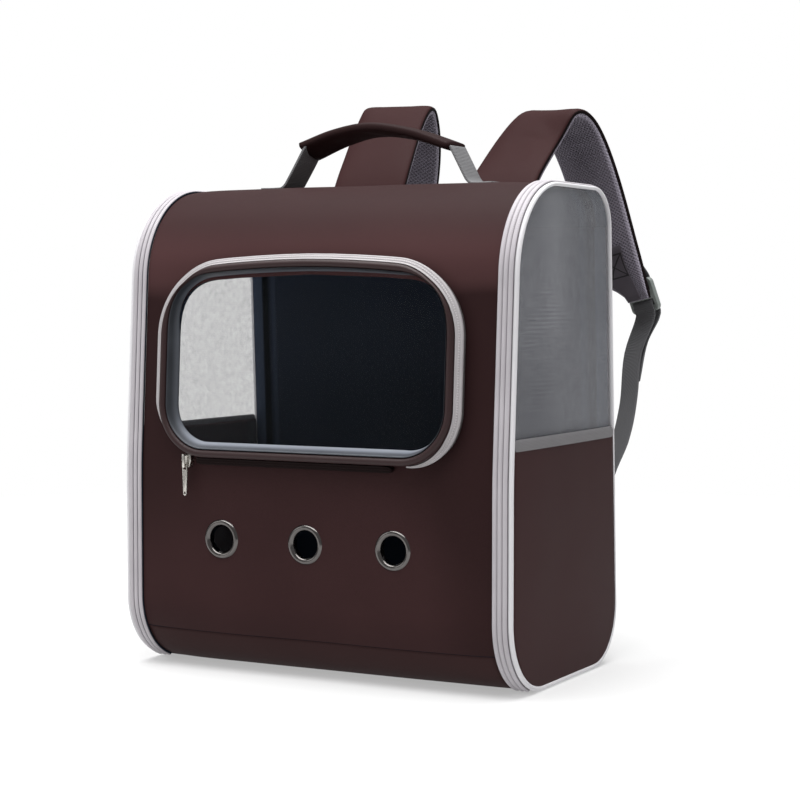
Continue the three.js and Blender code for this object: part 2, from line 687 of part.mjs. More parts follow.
// Everything that one side has, drawn on the right; the left side is drawn mirrored
function addSide(group, side) {
  addMesh(group, `${side}_side_zip`, sideZip(), TRIM_GREY);
  addMesh(group, `${side}_piping`, piping(), TRIM_GREY);
  addMesh(group, `${side}_side_mesh`, sidePlate(MESH_OUTSIDE, MESH_THICK, 0, HEIGHT), MESH_GREY);
  const pocketTop = POCKET_TOP - BINDING_HEIGHT - GAP;
  addMesh(group, `${side}_pocket`, sidePlate(POCKET_OUTSIDE, POCKET_THICK, 0, pocketTop), BROWN);
  const binding = sidePlate(
    POCKET_OUTSIDE - BINDING_PROUD,
    POCKET_THICK + BINDING_PROUD,
    POCKET_TOP - BINDING_HEIGHT,
    POCKET_TOP,
  );
  addMesh(group, `${side}_pocket_binding`, binding, MESH_GREY);
  const rise = handlePiece(HANDLE_FOOT_ROUTE, HANDLE_WEB);
  addMesh(group, `handle_web_${side}`, rise, WEBBING_GREY);
  const strap = strapStations(STRAP_ROUTES[side]);
  const frame = buckleFrame(strap.at(-1));
  addMesh(group, `${side}_strap_cover`, strapCover(strap), BROWN);
  addMesh(group, `${side}_strap_pad`, strapPad(strap), PAD_GREY);
  addMesh(group, `${side}_strap_patch`, strapPatch(strap), WEBBING_GREY);
  addMesh(group, `${side}_buckle`, buckle(frame), BUCKLE_GREY);
  addMesh(group, `${side}_buckle_loop`, buckleLoop(frame, strap), WEBBING_GREY);
  addMesh(group, `${side}_webbing`, webbing(frame), WEBBING_GREY);
}

const carrier = new THREE.Group();
addMesh(carrier, "front_top_panel", frontTopPanel(), BROWN);
addMesh(carrier, "back_panel", cabinWall(backRun, 0, WALL, FULL_HALF), BROWN);
addMesh(carrier, "base_panel", basePanel(), DARK_BROWN);

const rightSide = new THREE.Group();
addSide(rightSide, "right");
const leftSide = new THREE.Group();
addSide(leftSide, "left");
leftSide.scale.x = -1;
carrier.add(rightSide, leftSide);

const windowStations = windowRing.map(onFront);
addMesh(carrier, "window_rim", sweep(windowStations, RIM_SECTION, true), BROWN);
addMesh(carrier, "window_lip", sweep(windowStations, LIP_SECTION, true), LIP_GREY);
addMesh(carrier, "window_zip", windowZip(), TRIM_GREY);
addMesh(carrier, "window_hinge", windowHinge(), BROWN);
addMesh(carrier, "window_pane", windowPane(), CLEAR);

const sliderGroup = new THREE.Group();
sliderGroup.position.set(SLIDER.x, -DEPTH / 2 - GAP - SLIDER.thick, SLIDER.z);
addMesh(sliderGroup, "window_slider", slider(), STEEL);
addMesh(sliderGroup, "pull_tab", pull(), STEEL).position.set(0, -PULL_PIVOT.out, PULL_PIVOT.up);
carrier.add(sliderGroup);

["left", "middle", "right"].forEach((place, i) => {
  addMesh(carrier, `eyelet_${place}`, eyelet(), GUNMETAL).position.set(eyeletX(i), EYELET_FRONT, EYELET_HEIGHT);
});
addMesh(carrier, "handle_grip", handlePiece(HANDLE_GRIP_ROUTE, HANDLE_GRIP), DARK_BROWN);

export default carrier;
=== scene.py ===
"""Boxy pet carrier backpack: its cloth, mesh, trim and metal over the solids, in metres, with +Z up and the
front facing -Y. The panels, zips and straps are drawn out ring by ring along the solids' own outlines."""

import math
import bmesh
import bpy
from mathutils import Matrix, Vector, noise


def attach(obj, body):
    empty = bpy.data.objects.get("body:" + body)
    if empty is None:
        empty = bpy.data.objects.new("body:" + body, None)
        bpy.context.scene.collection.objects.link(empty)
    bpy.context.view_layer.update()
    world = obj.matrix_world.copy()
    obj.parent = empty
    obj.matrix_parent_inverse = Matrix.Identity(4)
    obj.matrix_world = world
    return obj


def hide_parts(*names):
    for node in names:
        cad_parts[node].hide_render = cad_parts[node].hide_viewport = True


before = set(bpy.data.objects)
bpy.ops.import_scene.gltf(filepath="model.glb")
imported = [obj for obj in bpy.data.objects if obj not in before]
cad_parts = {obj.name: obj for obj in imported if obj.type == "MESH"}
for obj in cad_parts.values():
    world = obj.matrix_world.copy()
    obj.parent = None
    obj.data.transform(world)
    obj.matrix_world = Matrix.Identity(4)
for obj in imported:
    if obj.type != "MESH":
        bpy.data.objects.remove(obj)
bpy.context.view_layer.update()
bpy.ops.object.select_all(action="DESELECT")

# Camera
# A long lens to the right of the bag's front, at about three quarters of its height, looking slightly down.
# It frames the bag close, with room above for the straps.
bpy.ops.object.camera_add(
    location=(0.8180, -1.4696, 0.3107),
    rotation=(math.radians(90 - 3.011), 0, math.radians(28.339)),
)
camera = bpy.context.object
camera.data.lens = 89.72
camera.data.sensor_width = 36
bpy.context.scene.camera = camera

# Studio
# A white floor and a white surround, a broad soft lamp overhead and weaker ones on the left and the right.
# The surround is brighter to look at than it is to light with, so that the dark cloth keeps its depth.
bpy.context.scene.view_settings.view_transform = "Standard"
bpy.ops.mesh.primitive_circle_add(vertices=96, radius=1.5, fill_type="NGON", location=(0, 0, -0.0006))
floor = bpy.context.object
floor.name = "floor"
floor_paint = bpy.data.materials.new("floor_paint")
floor_paint.use_nodes = True
floor_shader = floor_paint.node_tree.nodes["Principled BSDF"]
floor_shader.inputs["Base Color"].default_value = (0.45, 0.45, 0.45, 1)
floor_shader.inputs["Emission Color"].default_value = (1, 1, 1, 1)
floor_shader.inputs["Emission Strength"].default_value = 0.40
floor_shader.inputs["Roughness"].default_value = 0.9
floor_shader.inputs["Specular IOR Level"].default_value = 0.1
floor.data.materials.append(floor_paint)

surround = bpy.data.worlds.new("surround")
surround.use_nodes = True
bpy.context.scene.world = surround
sky = surround.node_tree.nodes["Background"]
seen = surround.node_tree.nodes.new("ShaderNodeLightPath")
level = surround.node_tree.nodes.new("ShaderNodeMapRange")
level.inputs["To Min"].default_value = 0.36
level.inputs["To Max"].default_value = 1.0
surround.node_tree.links.new(seen.outputs["Is Camera Ray"], level.inputs["Value"])
surround.node_tree.links.new(level.outputs["Result"], sky.inputs["Strength"])
sky.inputs["Color"].default_value = (1, 1, 1, 1)

for name, place, aim, size, power in (
    ("overhead", (-0.10, -0.20, 2.3), (0, 0, 0.2), 3.0, 128),
    ("left_fill", (-1.3, -1.1, 0.8), (0, 0, 0.25), 0.9, 3.6),
    ("right_fill", (2.4, 0.2, 1.0), (0, 0, 0.25), 1.6, 3),
):
    bpy.ops.object.light_add(type="AREA", location=place)
    lamp = bpy.context.object
    lamp.name = name
    lamp.data.shape = "DISK"
    lamp.data.size = size
    lamp.data.energy = power
    lamp.rotation_euler = (Vector(aim) - Vector(place)).to_track_quat("-Z", "Y").to_euler()


# Front and top panel
# One panel of smooth coated cloth over thin foam, sewn to the base at the hem and carried up the front and
# over the top to the back seam. The window and the three vents are cut through it. Its inside is dark lining.
class Value:
    """A socket in a material's nodes. Sums on it add Math nodes, and node() adds any other kind."""

    def __init__(self, tree, socket=None):
        self.tree = tree
        self.socket = socket

    def node(self, kind, settings=None, inputs=None, output=0):
        made = self.tree.nodes.new(kind)
        for name, setting in (settings or {}).items():
            setattr(made, name, setting)
        for name, value in (inputs or {}).items():
            if isinstance(value, Value):
                self.tree.links.new(value.socket, made.inputs[name])
            else:
                made.inputs[name].default_value = value
        return Value(self.tree, made.outputs[output])

    def math(self, operation, first, second):
        return self.node("ShaderNodeMath", {"operation": operation}, {0: first, 1: second})

    def __add__(self, other):
        return self.math("ADD", self, other)

    def __sub__(self, other):
        return self.math("SUBTRACT", self, other)

    def __rsub__(self, other):
        return self.math("SUBTRACT", other, self)

    def __mul__(self, other):
        return self.math("MULTIPLY", self, other)

    def __mod__(self, other):
        return self.math("FLOORED_MODULO", self, other)

    def __abs__(self):
        return self.math("ABSOLUTE", self, 0)

    def most(self, other):
        return self.math("MAXIMUM", self, other)

    def wave(self, period):
        """From -1 to 1 and back over one period."""
        return self.math("SINE", self * (2 * math.pi / period), 0)

    def ramp(self, low, high, start=0.0, end=1.0):
        """A smooth step between two numbers as this goes from low to high."""
        stops = {"Value": self, "From Min": low, "From Max": high, "To Min": start, "To Max": end}
        return self.node("ShaderNodeMapRange", {"interpolation_type": "SMOOTHSTEP"}, stops)

    def mix(self, dark, light):
        """Between two colours, by this share."""
        ends = {0: self, 6: dark, 7: light}
        return self.node("ShaderNodeMix", {"data_type": "RGBA"}, ends, output=2)

    def split(self):
        """The three parts of a place."""
        made = self.tree.nodes.new("ShaderNodeSeparateXYZ")
        self.tree.links.new(self.socket, made.inputs[0])
        return [Value(self.tree, part) for part in made.outputs]


def new_finish(name, fixed):
    """A material with fixed numbers on its shader's own sockets, and a Value to wire from."""
    finish = bpy.data.materials.new(name)
    finish.use_nodes = True
    shader = finish.node_tree.nodes["Principled BSDF"]
    for socket, number in fixed.items():
        shader.inputs[socket].default_value = number
    return finish, shader, Value(finish.node_tree)


def feed(shader, socket, value):
    value.tree.links.new(value.socket, shader.inputs[socket])


def cut_places(start):
    """How far along a piece and how far round it each point lies, from its UV map in metres."""
    return start.node("ShaderNodeUVMap", {"uv_map": "UVMap"}).split()[:2]


def mottle(start, scale, detail=2.0):
    """Soft patches fixed to the object, from 0 to 1."""
    spot = start.node("ShaderNodeTexCoord", output="Object")
    return start.node("ShaderNodeTexNoise", {}, {"Vector": spot, "Scale": scale, "Detail": detail})


def raise_up(start, shader, height, strength, depth):
    """Bump from a height."""
    bump = start.node("ShaderNodeBump", {}, {"Strength": strength, "Distance": depth, "Height": height})
    feed(shader, "Normal", bump)


def object_places(start):
    """Where each point lies on the object: to the right, back and up, in metres."""
    return start.node("ShaderNodeTexCoord", output="Object").split()


def woven(
    name, dark, light, yarn=0.0008, roughness=0.55, gloss=0.05, strength=0.2, patchy=0.7, shade=None,
):
    """Plain weave of one yarn each way, with faint patches in colour and gloss, and painted light and shade
    where given.
    """
    finish, shader, start = new_finish(name, {"Specular IOR Level": gloss})
    along, across = cut_places(start)
    patches = mottle(start, 9.0)
    thread = along.wave(yarn) * across.wave(yarn)
    share = patches * patchy + thread * 0.12 + (0.5 - patchy / 2)
    if shade:
        share = share + shade(*object_places(start))
    feed(shader, "Base Color", share.mix((*dark, 1), (*light, 1)))
    feed(shader, "Roughness", patches * 0.12 + (roughness - 0.06))
    raise_up(start, shader, thread, strength, 0.0002)
    return finish


def corner_arc(corners, name, start=0.0, end=1.0, step=math.radians(3)):
    """Points and outward normals round one corner of an outline, between two shares of its turn."""
    i = [row[0] for row in corners].index(name)
    spots = [Vector(row[1:3]) for row in corners]
    radius = corners[i][3]
    back = (spots[i - 1] - spots[i]).normalized()
    ahead = (spots[(i + 1) % len(spots)] - spots[i]).normalized()
    half = math.acos(back.dot(ahead)) / 2
    centre = spots[i] + (back + ahead).normalized() * (radius / math.sin(half))
    first = (spots[i] + back * (radius / math.tan(half)) - centre).normalized()
    turn = math.copysign(math.pi - 2 * half, ahead.cross(back))
    count = max(2, round(abs(turn) * (end - start) / step))
    stations = []
    for k in range(count + 1):
        angle = turn * (start + (end - start) * k / count)
        normal = Matrix.Rotation(angle, 2) @ first
        stations.append((centre + normal * radius, normal))
    return stations


def walk(*arcs, gap=0.008):
    """One run through several arcs, with the straight lengths between them cut into short steps."""
    run = []
    for arc in arcs:
        if run:
            (p0, n0), (p1, n1) = run[-1], arc[0]
            cuts = int((p1 - p0).length / gap)
            for k in range(1, cuts + 1):
                share = k / (cuts + 1)
                run.append((p0.lerp(p1, share), n0.lerp(n1, share).normalized()))
        run += arc
    return run


def select_rings(piece, rings, size):
    shell = bmesh.from_edit_mesh(piece.data)
    for vert in shell.verts:
        vert.select = vert.index // size in rings
    shell.select_flush_mode()


def loft(name, rings, closed=False, smooth=0):
    """A ring of points drawn out through all the rings, with a UV map in metres along and round the run."""
    size = len(rings[0])
    last = len(rings) - 1
    bpy.ops.object.select_all(action="DESELECT")
    bpy.ops.mesh.primitive_circle_add(vertices=size, radius=0.01)
    piece = bpy.context.object
    piece.name = name
    piece.data.name = name
    bpy.ops.object.mode_set(mode="EDIT")
    bpy.ops.mesh.select_all(action="SELECT")
    for n, ring in enumerate(rings):
        if n:
            bpy.ops.mesh.extrude_region()
        shell = bmesh.from_edit_mesh(piece.data)
        for vert, place in zip([vert for vert in shell.verts if vert.select], ring):
            vert.co = place
    bmesh.update_edit_mesh(piece.data)
    bmesh.from_edit_mesh(piece.data).verts.index_update()
    if closed:
        select_rings(piece, (0, last), size)
        bpy.ops.mesh.bridge_edge_loops()
    else:
        for end in (0, last):
            select_rings(piece, (end,), size)
            bpy.ops.mesh.edge_face_add()
    bpy.ops.mesh.select_all(action="SELECT")
    bpy.ops.mesh.normals_make_consistent(inside=False)
    bpy.ops.object.mode_set(mode="OBJECT")
    middles = [sum((Vector(p) for p in ring), Vector()) / size for ring in rings]
    along = [0.0]
    for a, b in zip(middles, middles[1:] + middles[:1]):
        along.append(along[-1] + (b - a).length)
    girth = [Vector(p) for p in rings[len(rings) // 2]]
    across = [0.0]
    for a, b in zip(girth, girth[1:] + girth[:1]):
        across.append(across[-1] + (b - a).length)
    chart = piece.data.uv_layers[0] if piece.data.uv_layers else piece.data.uv_layers.new()
    chart.name = "UVMap"
    for face in piece.data.polygons:
        spots = [divmod(v, size) for v in face.vertices]
        rounds = {0, size - 1} <= {k for _, k in spots}
        joins = closed and {0, last} <= {n for n, _ in spots}
        for corner, (n, k) in zip(face.loop_indices, spots):
            u = along[last + 1] if joins and n == 0 else along[n]
            v = across[size] if rounds and k == 0 else across[k]
            chart.data[corner].uv = (u, v)
    bpy.ops.object.shade_smooth()
    if smooth:
        rounding = piece.modifiers.new("rounding", "SUBSURF")
        rounding.levels = smooth
        rounding.render_levels = smooth
        bpy.ops.object.modifier_apply(modifier="rounding")
    return piece


FRONT_FACE = -0.1065
SIDE_OUTLINE = (
    ("front_foot", FRONT_FACE, 0.0, 0.060),
    ("front_knee", FRONT_FACE, 0.170, 0.520),
    ("front_crown", -0.0925, 0.400, 0.078),
    ("back_crown", 0.0865, 0.400, 0.034),
    ("back_foot", 0.1065, 0.0, 0.049),
)
ZIP_SHARE = 0.2
HEM_SHARE = 0.7
HEM_GAP = 0.004
WALL = 0.003
CABIN_MIDDLE = Vector((0, 0, 0.2))
LOOKS_INWARD = 0.35
PANEL_HALF = 0.1624
PANEL_CROWN = 0.0012
PANEL_CUTS = 64
INSIDE_CUTS = 16
SEAM_DIP = 0.0009
SEAM_FADE = 0.014
FRONT_MIDDLE = -0.003
WINDOW_OUTLINE = (
    ("foot_right", FRONT_MIDDLE + 0.1415, 0.172, 0.050),
    ("foot_left", FRONT_MIDDLE - 0.1415, 0.172, 0.050),
    ("crown_left", FRONT_MIDDLE - 0.1415, 0.334, 0.062),
    ("crown_middle", FRONT_MIDDLE, 0.345, 0.900),
    ("crown_right", FRONT_MIDDLE + 0.1415, 0.334, 0.062),
)
WINDOW_INSET = 0.015
WINDOW_CORNER_TRIM = 0.0042
VENT_HEIGHT = 0.111
VENT_RADIUS = 0.0124
VENT_PLACES = [FRONT_MIDDLE + k * 0.080 for k in (-1, 0, 1)]
BROWN_DARK = (0.0310, 0.0136, 0.0140)
BROWN_LIGHT = (0.0430, 0.0196, 0.0200)

front_run = walk(
    corner_arc(SIDE_OUTLINE, "front_foot", HEM_SHARE + HEM_GAP, 1),
    corner_arc(SIDE_OUTLINE, "front_knee"),
    corner_arc(SIDE_OUTLINE, "front_crown"),
    corner_arc(SIDE_OUTLINE, "back_crown"),
)


def at_cabin(x, station, out):
    point, normal = station
    return Vector((x, point.x + normal.x * out, point.y + normal.y * out))


def panel_ring(station, half, crown, ripple=0.0006, wall=WALL):
    """Across a panel: a gently crowned outside that dips to the seams at its edges, and a flat inside."""
    ring = []
    for k in range(PANEL_CUTS + 1):
        x = half * (2 * k / PANEL_CUTS - 1)
        lift = 1 - math.exp(-(half - abs(x)) / SEAM_FADE)
        spot = at_cabin(x, station, 0)
        out = crown * lift - SEAM_DIP * (1 - lift) + ripple * lift * noise.noise(spot * 13)
        ring.append(at_cabin(x, station, out))
    for k in range(INSIDE_CUTS + 1):
        ring.append(at_cabin(half * (1 - 2 * k / INSIDE_CUTS), station, -wall))
    return ring


def line_inside(piece, lining):
    """Gives the faces that look into the cabin the lining."""
    piece.data.materials.append(lining)
    for face in piece.data.polygons:
        inward = (CABIN_MIDDLE - face.center).normalized()
        if face.normal.dot(inward) > LOOKS_INWARD:
            face.material_index = 1


def pick(piece):
    """Makes a piece the only one that is selected and worked on."""
    bpy.ops.object.select_all(action="DESELECT")
    piece.select_set(True)
    bpy.context.view_layer.objects.active = piece


def cut_out(piece, cutter):
    """Cuts a piece with another, which goes."""
    bpy.context.view_layer.objects.active = piece
    cut = piece.modifiers.new("cut", "BOOLEAN")
    cut.object = cutter
    cut.solver = "EXACT"
    bpy.ops.object.modifier_apply(modifier="cut")
    bpy.data.objects.remove(cutter)


def painted_front_shading(x, y, z):
    """Painted light and shade: lighter where the front bends back to the top, darker over the top, down
    beside the seams and on the right.
    """
    bend = z.ramp(0.374, 0.342) * z.ramp(0.300, 0.324)
    beside = abs(x + 0.010).ramp(0.085, 0.165) * z.ramp(0.330, 0.300) * z.ramp(0.08, 0.22)
    right = x.ramp(0.10, 0.16) * z.ramp(0.330, 0.300)
    return bend * 0.60 - z.ramp(0.366, 0.392) * 0.13 - beside * 0.52 - right * 0.26 - 0.262


def painted_corner_seam(x, y, z):
    """The lining's seam down each back corner in painted light and shade: a highlight on its edge, shade in a
    deep groove and a highlight on a thin welt beside it.
    """
    off = abs(x)
    edge = off.ramp(0.1645, 0.1665)
    groove = off.ramp(0.1570, 0.1600) * off.ramp(0.1665, 0.1640)
    welt = abs(off - 0.1535).ramp(0.0032, 0.0012)
    return (edge * 0.5 + welt * 0.3 - groove * 0.5) * y.ramp(0.05, 0.07)


def corner_trim(normal):
    """How much slimmer the window's frame is round its upper corners."""
    return WINDOW_CORNER_TRIM * (2 * abs(normal.x) * max(0, normal.y)) ** 2


brown_cloth = woven("brown_cloth", BROWN_DARK, BROWN_LIGHT)
# The front's colour carries painted light and shade, lighter on the bend to the top and darker over the top,
# beside the seams and on the right.
front_cloth = woven(
    "front_cloth", (0.0225, 0.0098, 0.0101), (0.0655, 0.0298, 0.0305), patchy=0.33, shade=painted_front_shading,
)
lining = woven(
    "dark_lining", (0.0008, 0.0010, 0.0016), (0.0305, 0.0405, 0.0625), roughness=0.8, gloss=0.02,
    strength=0.04, patchy=0.12, shade=painted_corner_seam,
)

front = loft("front_top_cloth", [panel_ring(station, PANEL_HALF, PANEL_CROWN) for station in front_run])
window_arcs = [corner_arc(WINDOW_OUTLINE, row[0], step=math.radians(5)) for row in WINDOW_OUTLINE]
window_ring = walk(*window_arcs, [window_arcs[0][0]], gap=0.012)[:-1]
hole = [point - normal * (WINDOW_INSET - corner_trim(normal)) for point, normal in window_ring]
cut_out(front, loft("window_hole", [[(p.x, y, p.y) for p in hole] for y in (-0.15, -0.05)]))
for x in VENT_PLACES:
    bpy.ops.mesh.primitive_cylinder_add(vertices=48, radius=VENT_RADIUS, depth=0.03)
    vent = bpy.context.object
    bpy.ops.object.mode_set(mode="EDIT")
    bpy.ops.transform.rotate(value=math.pi / 2, orient_axis="X", center_override=(0, 0, 0))
    bpy.ops.transform.translate(value=(x, FRONT_FACE, VENT_HEIGHT))
    bpy.ops.object.mode_set(mode="OBJECT")
    cut_out(front, vent)
pick(front)
bpy.ops.object.shade_smooth_by_angle(angle=math.radians(50))
front.data.materials.append(front_cloth)
line_inside(front, lining)
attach(front, "bag")
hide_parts("front_top_panel")

# Base
# A board wrapped in the same cloth, darker where it meets the floor. It turns up at the front as far as the
# hem, where the front panel is sewn to it, and at the back as far as the back panel.
FULL_HALF = 0.1752
SEAM_WALL = 0.0045
HEM_CROWN = 0.0006
base_cloth = woven("base_cloth", (0.0270, 0.0125, 0.0125), (0.0380, 0.0180, 0.0180))
foot_run = walk(
    corner_arc(SIDE_OUTLINE, "back_foot"),
    corner_arc(SIDE_OUTLINE, "front_foot", 0, ZIP_SHARE),
)
hem_run = corner_arc(SIDE_OUTLINE, "front_foot", ZIP_SHARE, HEM_SHARE - HEM_GAP)
base_rings = [panel_ring(station, FULL_HALF, 0.0, 0.0, SEAM_WALL) for station in foot_run]
base_rings += [panel_ring(station, PANEL_HALF, HEM_CROWN, wall=SEAM_WALL) for station in hem_run]
base = loft("base_cloth_cover", base_rings)
base.data.materials.append(base_cloth)
line_inside(base, lining)
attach(base, "bag")
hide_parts("base_panel")


# Back panel
# A padded panel of the same cloth that lies against the wearer's back, sewn in flat between the top and the
# base. Air pressure swells its outside between the seams, as foam does.
AIR_FRAMES = 20
AIR_PRESSURE = 4
BACK_CROWN = 0.0018
BACK_RIPPLE = 0.0012
BACK_SWELL = 0.0018


def held_points(rings, size, loose):
    """The points that stay put when a pad swells: the two rings at each end, and those that aren't loose."""
    ends = (0, 1, rings - 2, rings - 1)
    return [n * size + k for n in range(rings) for k in range(size) if n in ends or k not in loose]


def puff(piece, held, swell):
    """Swells a pad by pressure where it isn't held, by no more than the swell at any point."""
    pick(piece)
    before = [vert.co.copy() for vert in piece.data.vertices]
    seams = piece.vertex_groups.new(name="seams")
    seams.add(held, 1.0, "REPLACE")
    air = piece.modifiers.new("air", "CLOTH")
    air.settings.quality = 6
    air.settings.mass = 0.2
    air.settings.vertex_group_mass = "seams"
    air.settings.use_pressure = True
    air.settings.uniform_pressure_force = AIR_PRESSURE
    air.settings.effector_weights.gravity = 0
    air.point_cache.frame_start = 1
    air.point_cache.frame_end = AIR_FRAMES
    for frame_number in range(1, AIR_FRAMES + 1):
        bpy.context.scene.frame_set(frame_number)
    bpy.ops.object.modifier_apply(modifier="air")
    bpy.context.scene.frame_set(1)
    piece.vertex_groups.remove(piece.vertex_groups["seams"])
    for vert, place in zip(piece.data.vertices, before):
        moved = vert.co - place
        if moved.length > swell:
            vert.co = place + moved * (swell / moved.length)


back_run = walk([corner_arc(SIDE_OUTLINE, "back_crown")[-1]], [corner_arc(SIDE_OUTLINE, "back_foot")[0]])
back_rings = [panel_ring(station, FULL_HALF, BACK_CROWN, BACK_RIPPLE, SEAM_WALL) for station in back_run]
back = loft("back_cloth", back_rings)
back_loose = range(4, PANEL_CUTS - 3)
puff(back, held_points(len(back_rings), len(back_rings[0]), back_loose), BACK_SWELL)
back.data.materials.append(brown_cloth)
line_inside(back, lining)
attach(back, "bag")
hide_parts("back_panel")


# Side zips
# On each side a long zip of light grey tape runs from under the front foot over the top to the back seam.
# Its two tapes have rolled edges, and the coil lies between them.
def flip(piece):
    """Turns a piece made for the right side into its mirror image, in place."""
    pick(piece)
    bpy.ops.object.mode_set(mode="EDIT")
    bpy.ops.mesh.select_all(action="SELECT")
    bpy.ops.transform.resize(value=(-1, 1, 1), center_override=(0, 0, 0))
    bpy.ops.mesh.normals_make_consistent(inside=False)
    bpy.ops.object.mode_set(mode="OBJECT")


def mirrored(piece, name):
    """The same piece on the left side."""
    pick(piece)
    bpy.ops.object.duplicate()
    copy = bpy.context.object
    copy.name = name
    copy.data.name = name
    flip(copy)
    return copy


def both_sides(piece, node):
    """The right piece and its mirror image, each in the place of its own solid."""
    copy = mirrored(piece, piece.name.replace("right", "left"))
    for side, made in (("right", piece), ("left", copy)):
        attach(made, "bag")
        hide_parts(f"{side}_{node}")
    return {"right": piece, "left": copy}


ZIP_INNER_X = 0.1627
ZIP_RIB = 0.00433
ZIP_RIB_RISE = 0.0016
ZIP_BACK = -0.0012
rib_cuts = [(1 - math.cos(math.pi * k / 8)) / 2 for k in range(8)]
zip_section = [(0.0, ZIP_BACK), (ZIP_RIB * 3, ZIP_BACK)]
for n in (2, 1, 0):
    zip_section += [
        (ZIP_RIB * (n + 1 - share), ZIP_RIB_RISE * (4 * share * (1 - share)) ** 0.5) for share in rib_cuts
    ]
zip_section.append((0.0, 0.0))
zip_run = walk(corner_arc(SIDE_OUTLINE, "front_foot", ZIP_SHARE + HEM_GAP, HEM_SHARE), front_run)
zip_rings = [[at_cabin(ZIP_INNER_X + x, station, out) for x, out in zip_section] for station in zip_run]
side_zip = loft("right_side_zip_tape", zip_rings)
ZIP_RIB_FIRST = 0.0142
ZIP_RIB_ROUND = 0.0058
zip_tape, zip_shader, zip_start = new_finish("light_zip_tape", {"Specular IOR Level": 0.3})
zip_along, zip_across = cut_places(zip_start)
zip_spot = (zip_across - ZIP_RIB_FIRST) % ZIP_RIB_ROUND
zip_half = ZIP_RIB_ROUND / 2
# The grooves between the ribs are painted darker, as shade, and made rougher.
zip_groove_shade = abs(zip_spot - zip_half).ramp(zip_half - 0.0011, zip_half - 0.0002)
zip_turns = (zip_along + zip_across * 0.6).wave(0.0017)
zip_share = mottle(zip_start, 30.0) * 0.3 + zip_turns * 0.10 + 0.55 - zip_groove_shade * 0.6
feed(zip_shader, "Base Color", zip_share.mix((0.13, 0.12, 0.13, 1), (0.55, 0.52, 0.55, 1)))
feed(zip_shader, "Roughness", zip_groove_shade * 0.3 + 0.5)
raise_up(zip_start, zip_shader, zip_turns, 0.3, 0.0003)
side_zip.data.materials.append(zip_tape)
# The lining also goes on the rib flanks that face inward, which stands as painted shade along the grooves and
# the zip's inner edge.
line_inside(side_zip, lining)
both_sides(side_zip, "side_zip")


# Piping
# A round cord wrapped in light grey tape, sewn into the seam all round each side.
# It keeps the seam in shape, and stands out most at the front and the foot.
def slimmer(normal):
    """The cord sinks into the seam along the top, and more along the back."""
    return 1 - PIPING_TOP_SINK * max(0, normal.y) - PIPING_BACK_SINK * max(0, normal.x)


PIPING_TOP_SINK = 0.22
PIPING_BACK_SINK = 0.42
PIPING_X = 0.1774
PIPING_RADIUS = 0.0021
PIPING_POINTS = 16
full_arcs = [corner_arc(SIDE_OUTLINE, row[0]) for row in SIDE_OUTLINE]
full_run = walk(*full_arcs, [full_arcs[0][0]])[:-1]
piping_rings = []
for station in full_run:
    ring = []
    radius = PIPING_RADIUS * slimmer(station[1])
    for k in range(PIPING_POINTS):
        angle = 2 * math.pi * k / PIPING_POINTS
        x = PIPING_X + PIPING_RADIUS * math.cos(angle)
        ring.append(at_cabin(x, station, radius * (math.sin(angle) - 1)))
    piping_rings.append(ring)
piping = loft("right_piping_cord", piping_rings, closed=True)
piping_tape = woven("light_piping", (0.55, 0.54, 0.56), (0.72, 0.71, 0.73), yarn=0.0006, roughness=0.55)
piping.data.materials.append(piping_tape)
both_sides(piping, "piping")


# Side walls
# The upper half of each side is fine mesh that lets air and light through. A slip pocket of brown cloth
# covers the lower half, and a grey band binds its top edge.
def rows_across(taken_in, bottom, top, gap=0.007, least=0.0012):
    """Heights from the bottom to the top of an outline, with where it starts and ends at each."""
    heights = [bottom + 1e-5]
    for z in sorted(p.y for p in taken_in):
        if heights[-1] + least < z < top - least:
            cuts = int((z - heights[-1]) / gap)
            heights += [heights[-1] + (z - heights[-1]) * (k + 1) / (cuts + 1) for k in range(cuts)] + [z]
    heights.append(top - 1e-5)
    rows = []
    for z in heights:
        crossings = []
        for a, b in zip(taken_in, taken_in[1:] + taken_in[:1]):
            if (a.y - z) * (b.y - z) <= 0 and a.y != b.y:
                crossings.append(a.x + (b.x - a.x) * (z - a.y) / (b.y - a.y))
        rows.append((z, min(crossings), max(crossings)))
    return rows


def side_wall(name, outside, bottom, top, bulge, droop=0.0):
    """A sheet across a side that swells out by the bulge between its edges."""
    rings = []
    for z, y0, y1 in rows_across(side_edge, bottom, top):
        up = (z - bottom) / (top - bottom)
        ring = []
        for k in range(SHEET_CUTS + 1):
            share = k / SHEET_CUTS
            swell = (4 * share * (1 - share)) ** 0.7 * (4 * up * (1 - up) * (1 - droop) + droop * up)
            y = y0 + (y1 - y0) * share
            slack = SHEET_SLACK * noise.noise(Vector((outside, y, z)) * 22) * swell
            ring.append((outside + bulge * swell + slack, y, z))
        for k in range(SHEET_BACK_CUTS + 1):
            ring.append((outside - SHEET_THICK, y1 + (y0 - y1) * k / SHEET_BACK_CUTS, z))
        rings.append(ring)
    return loft(name, rings)


def stretch_over(pieces, bottom, top):
    rows = rows_across(side_edge, bottom, top)
    wide = max(y1 - y0 for _, y0, y1 in rows)
    area = 0.0
    for (z0, a0, b0), (z1, a1, b1) in zip(rows, rows[1:]):
        area += (z1 - z0) * (b0 - a0 + b1 - a1) / 2


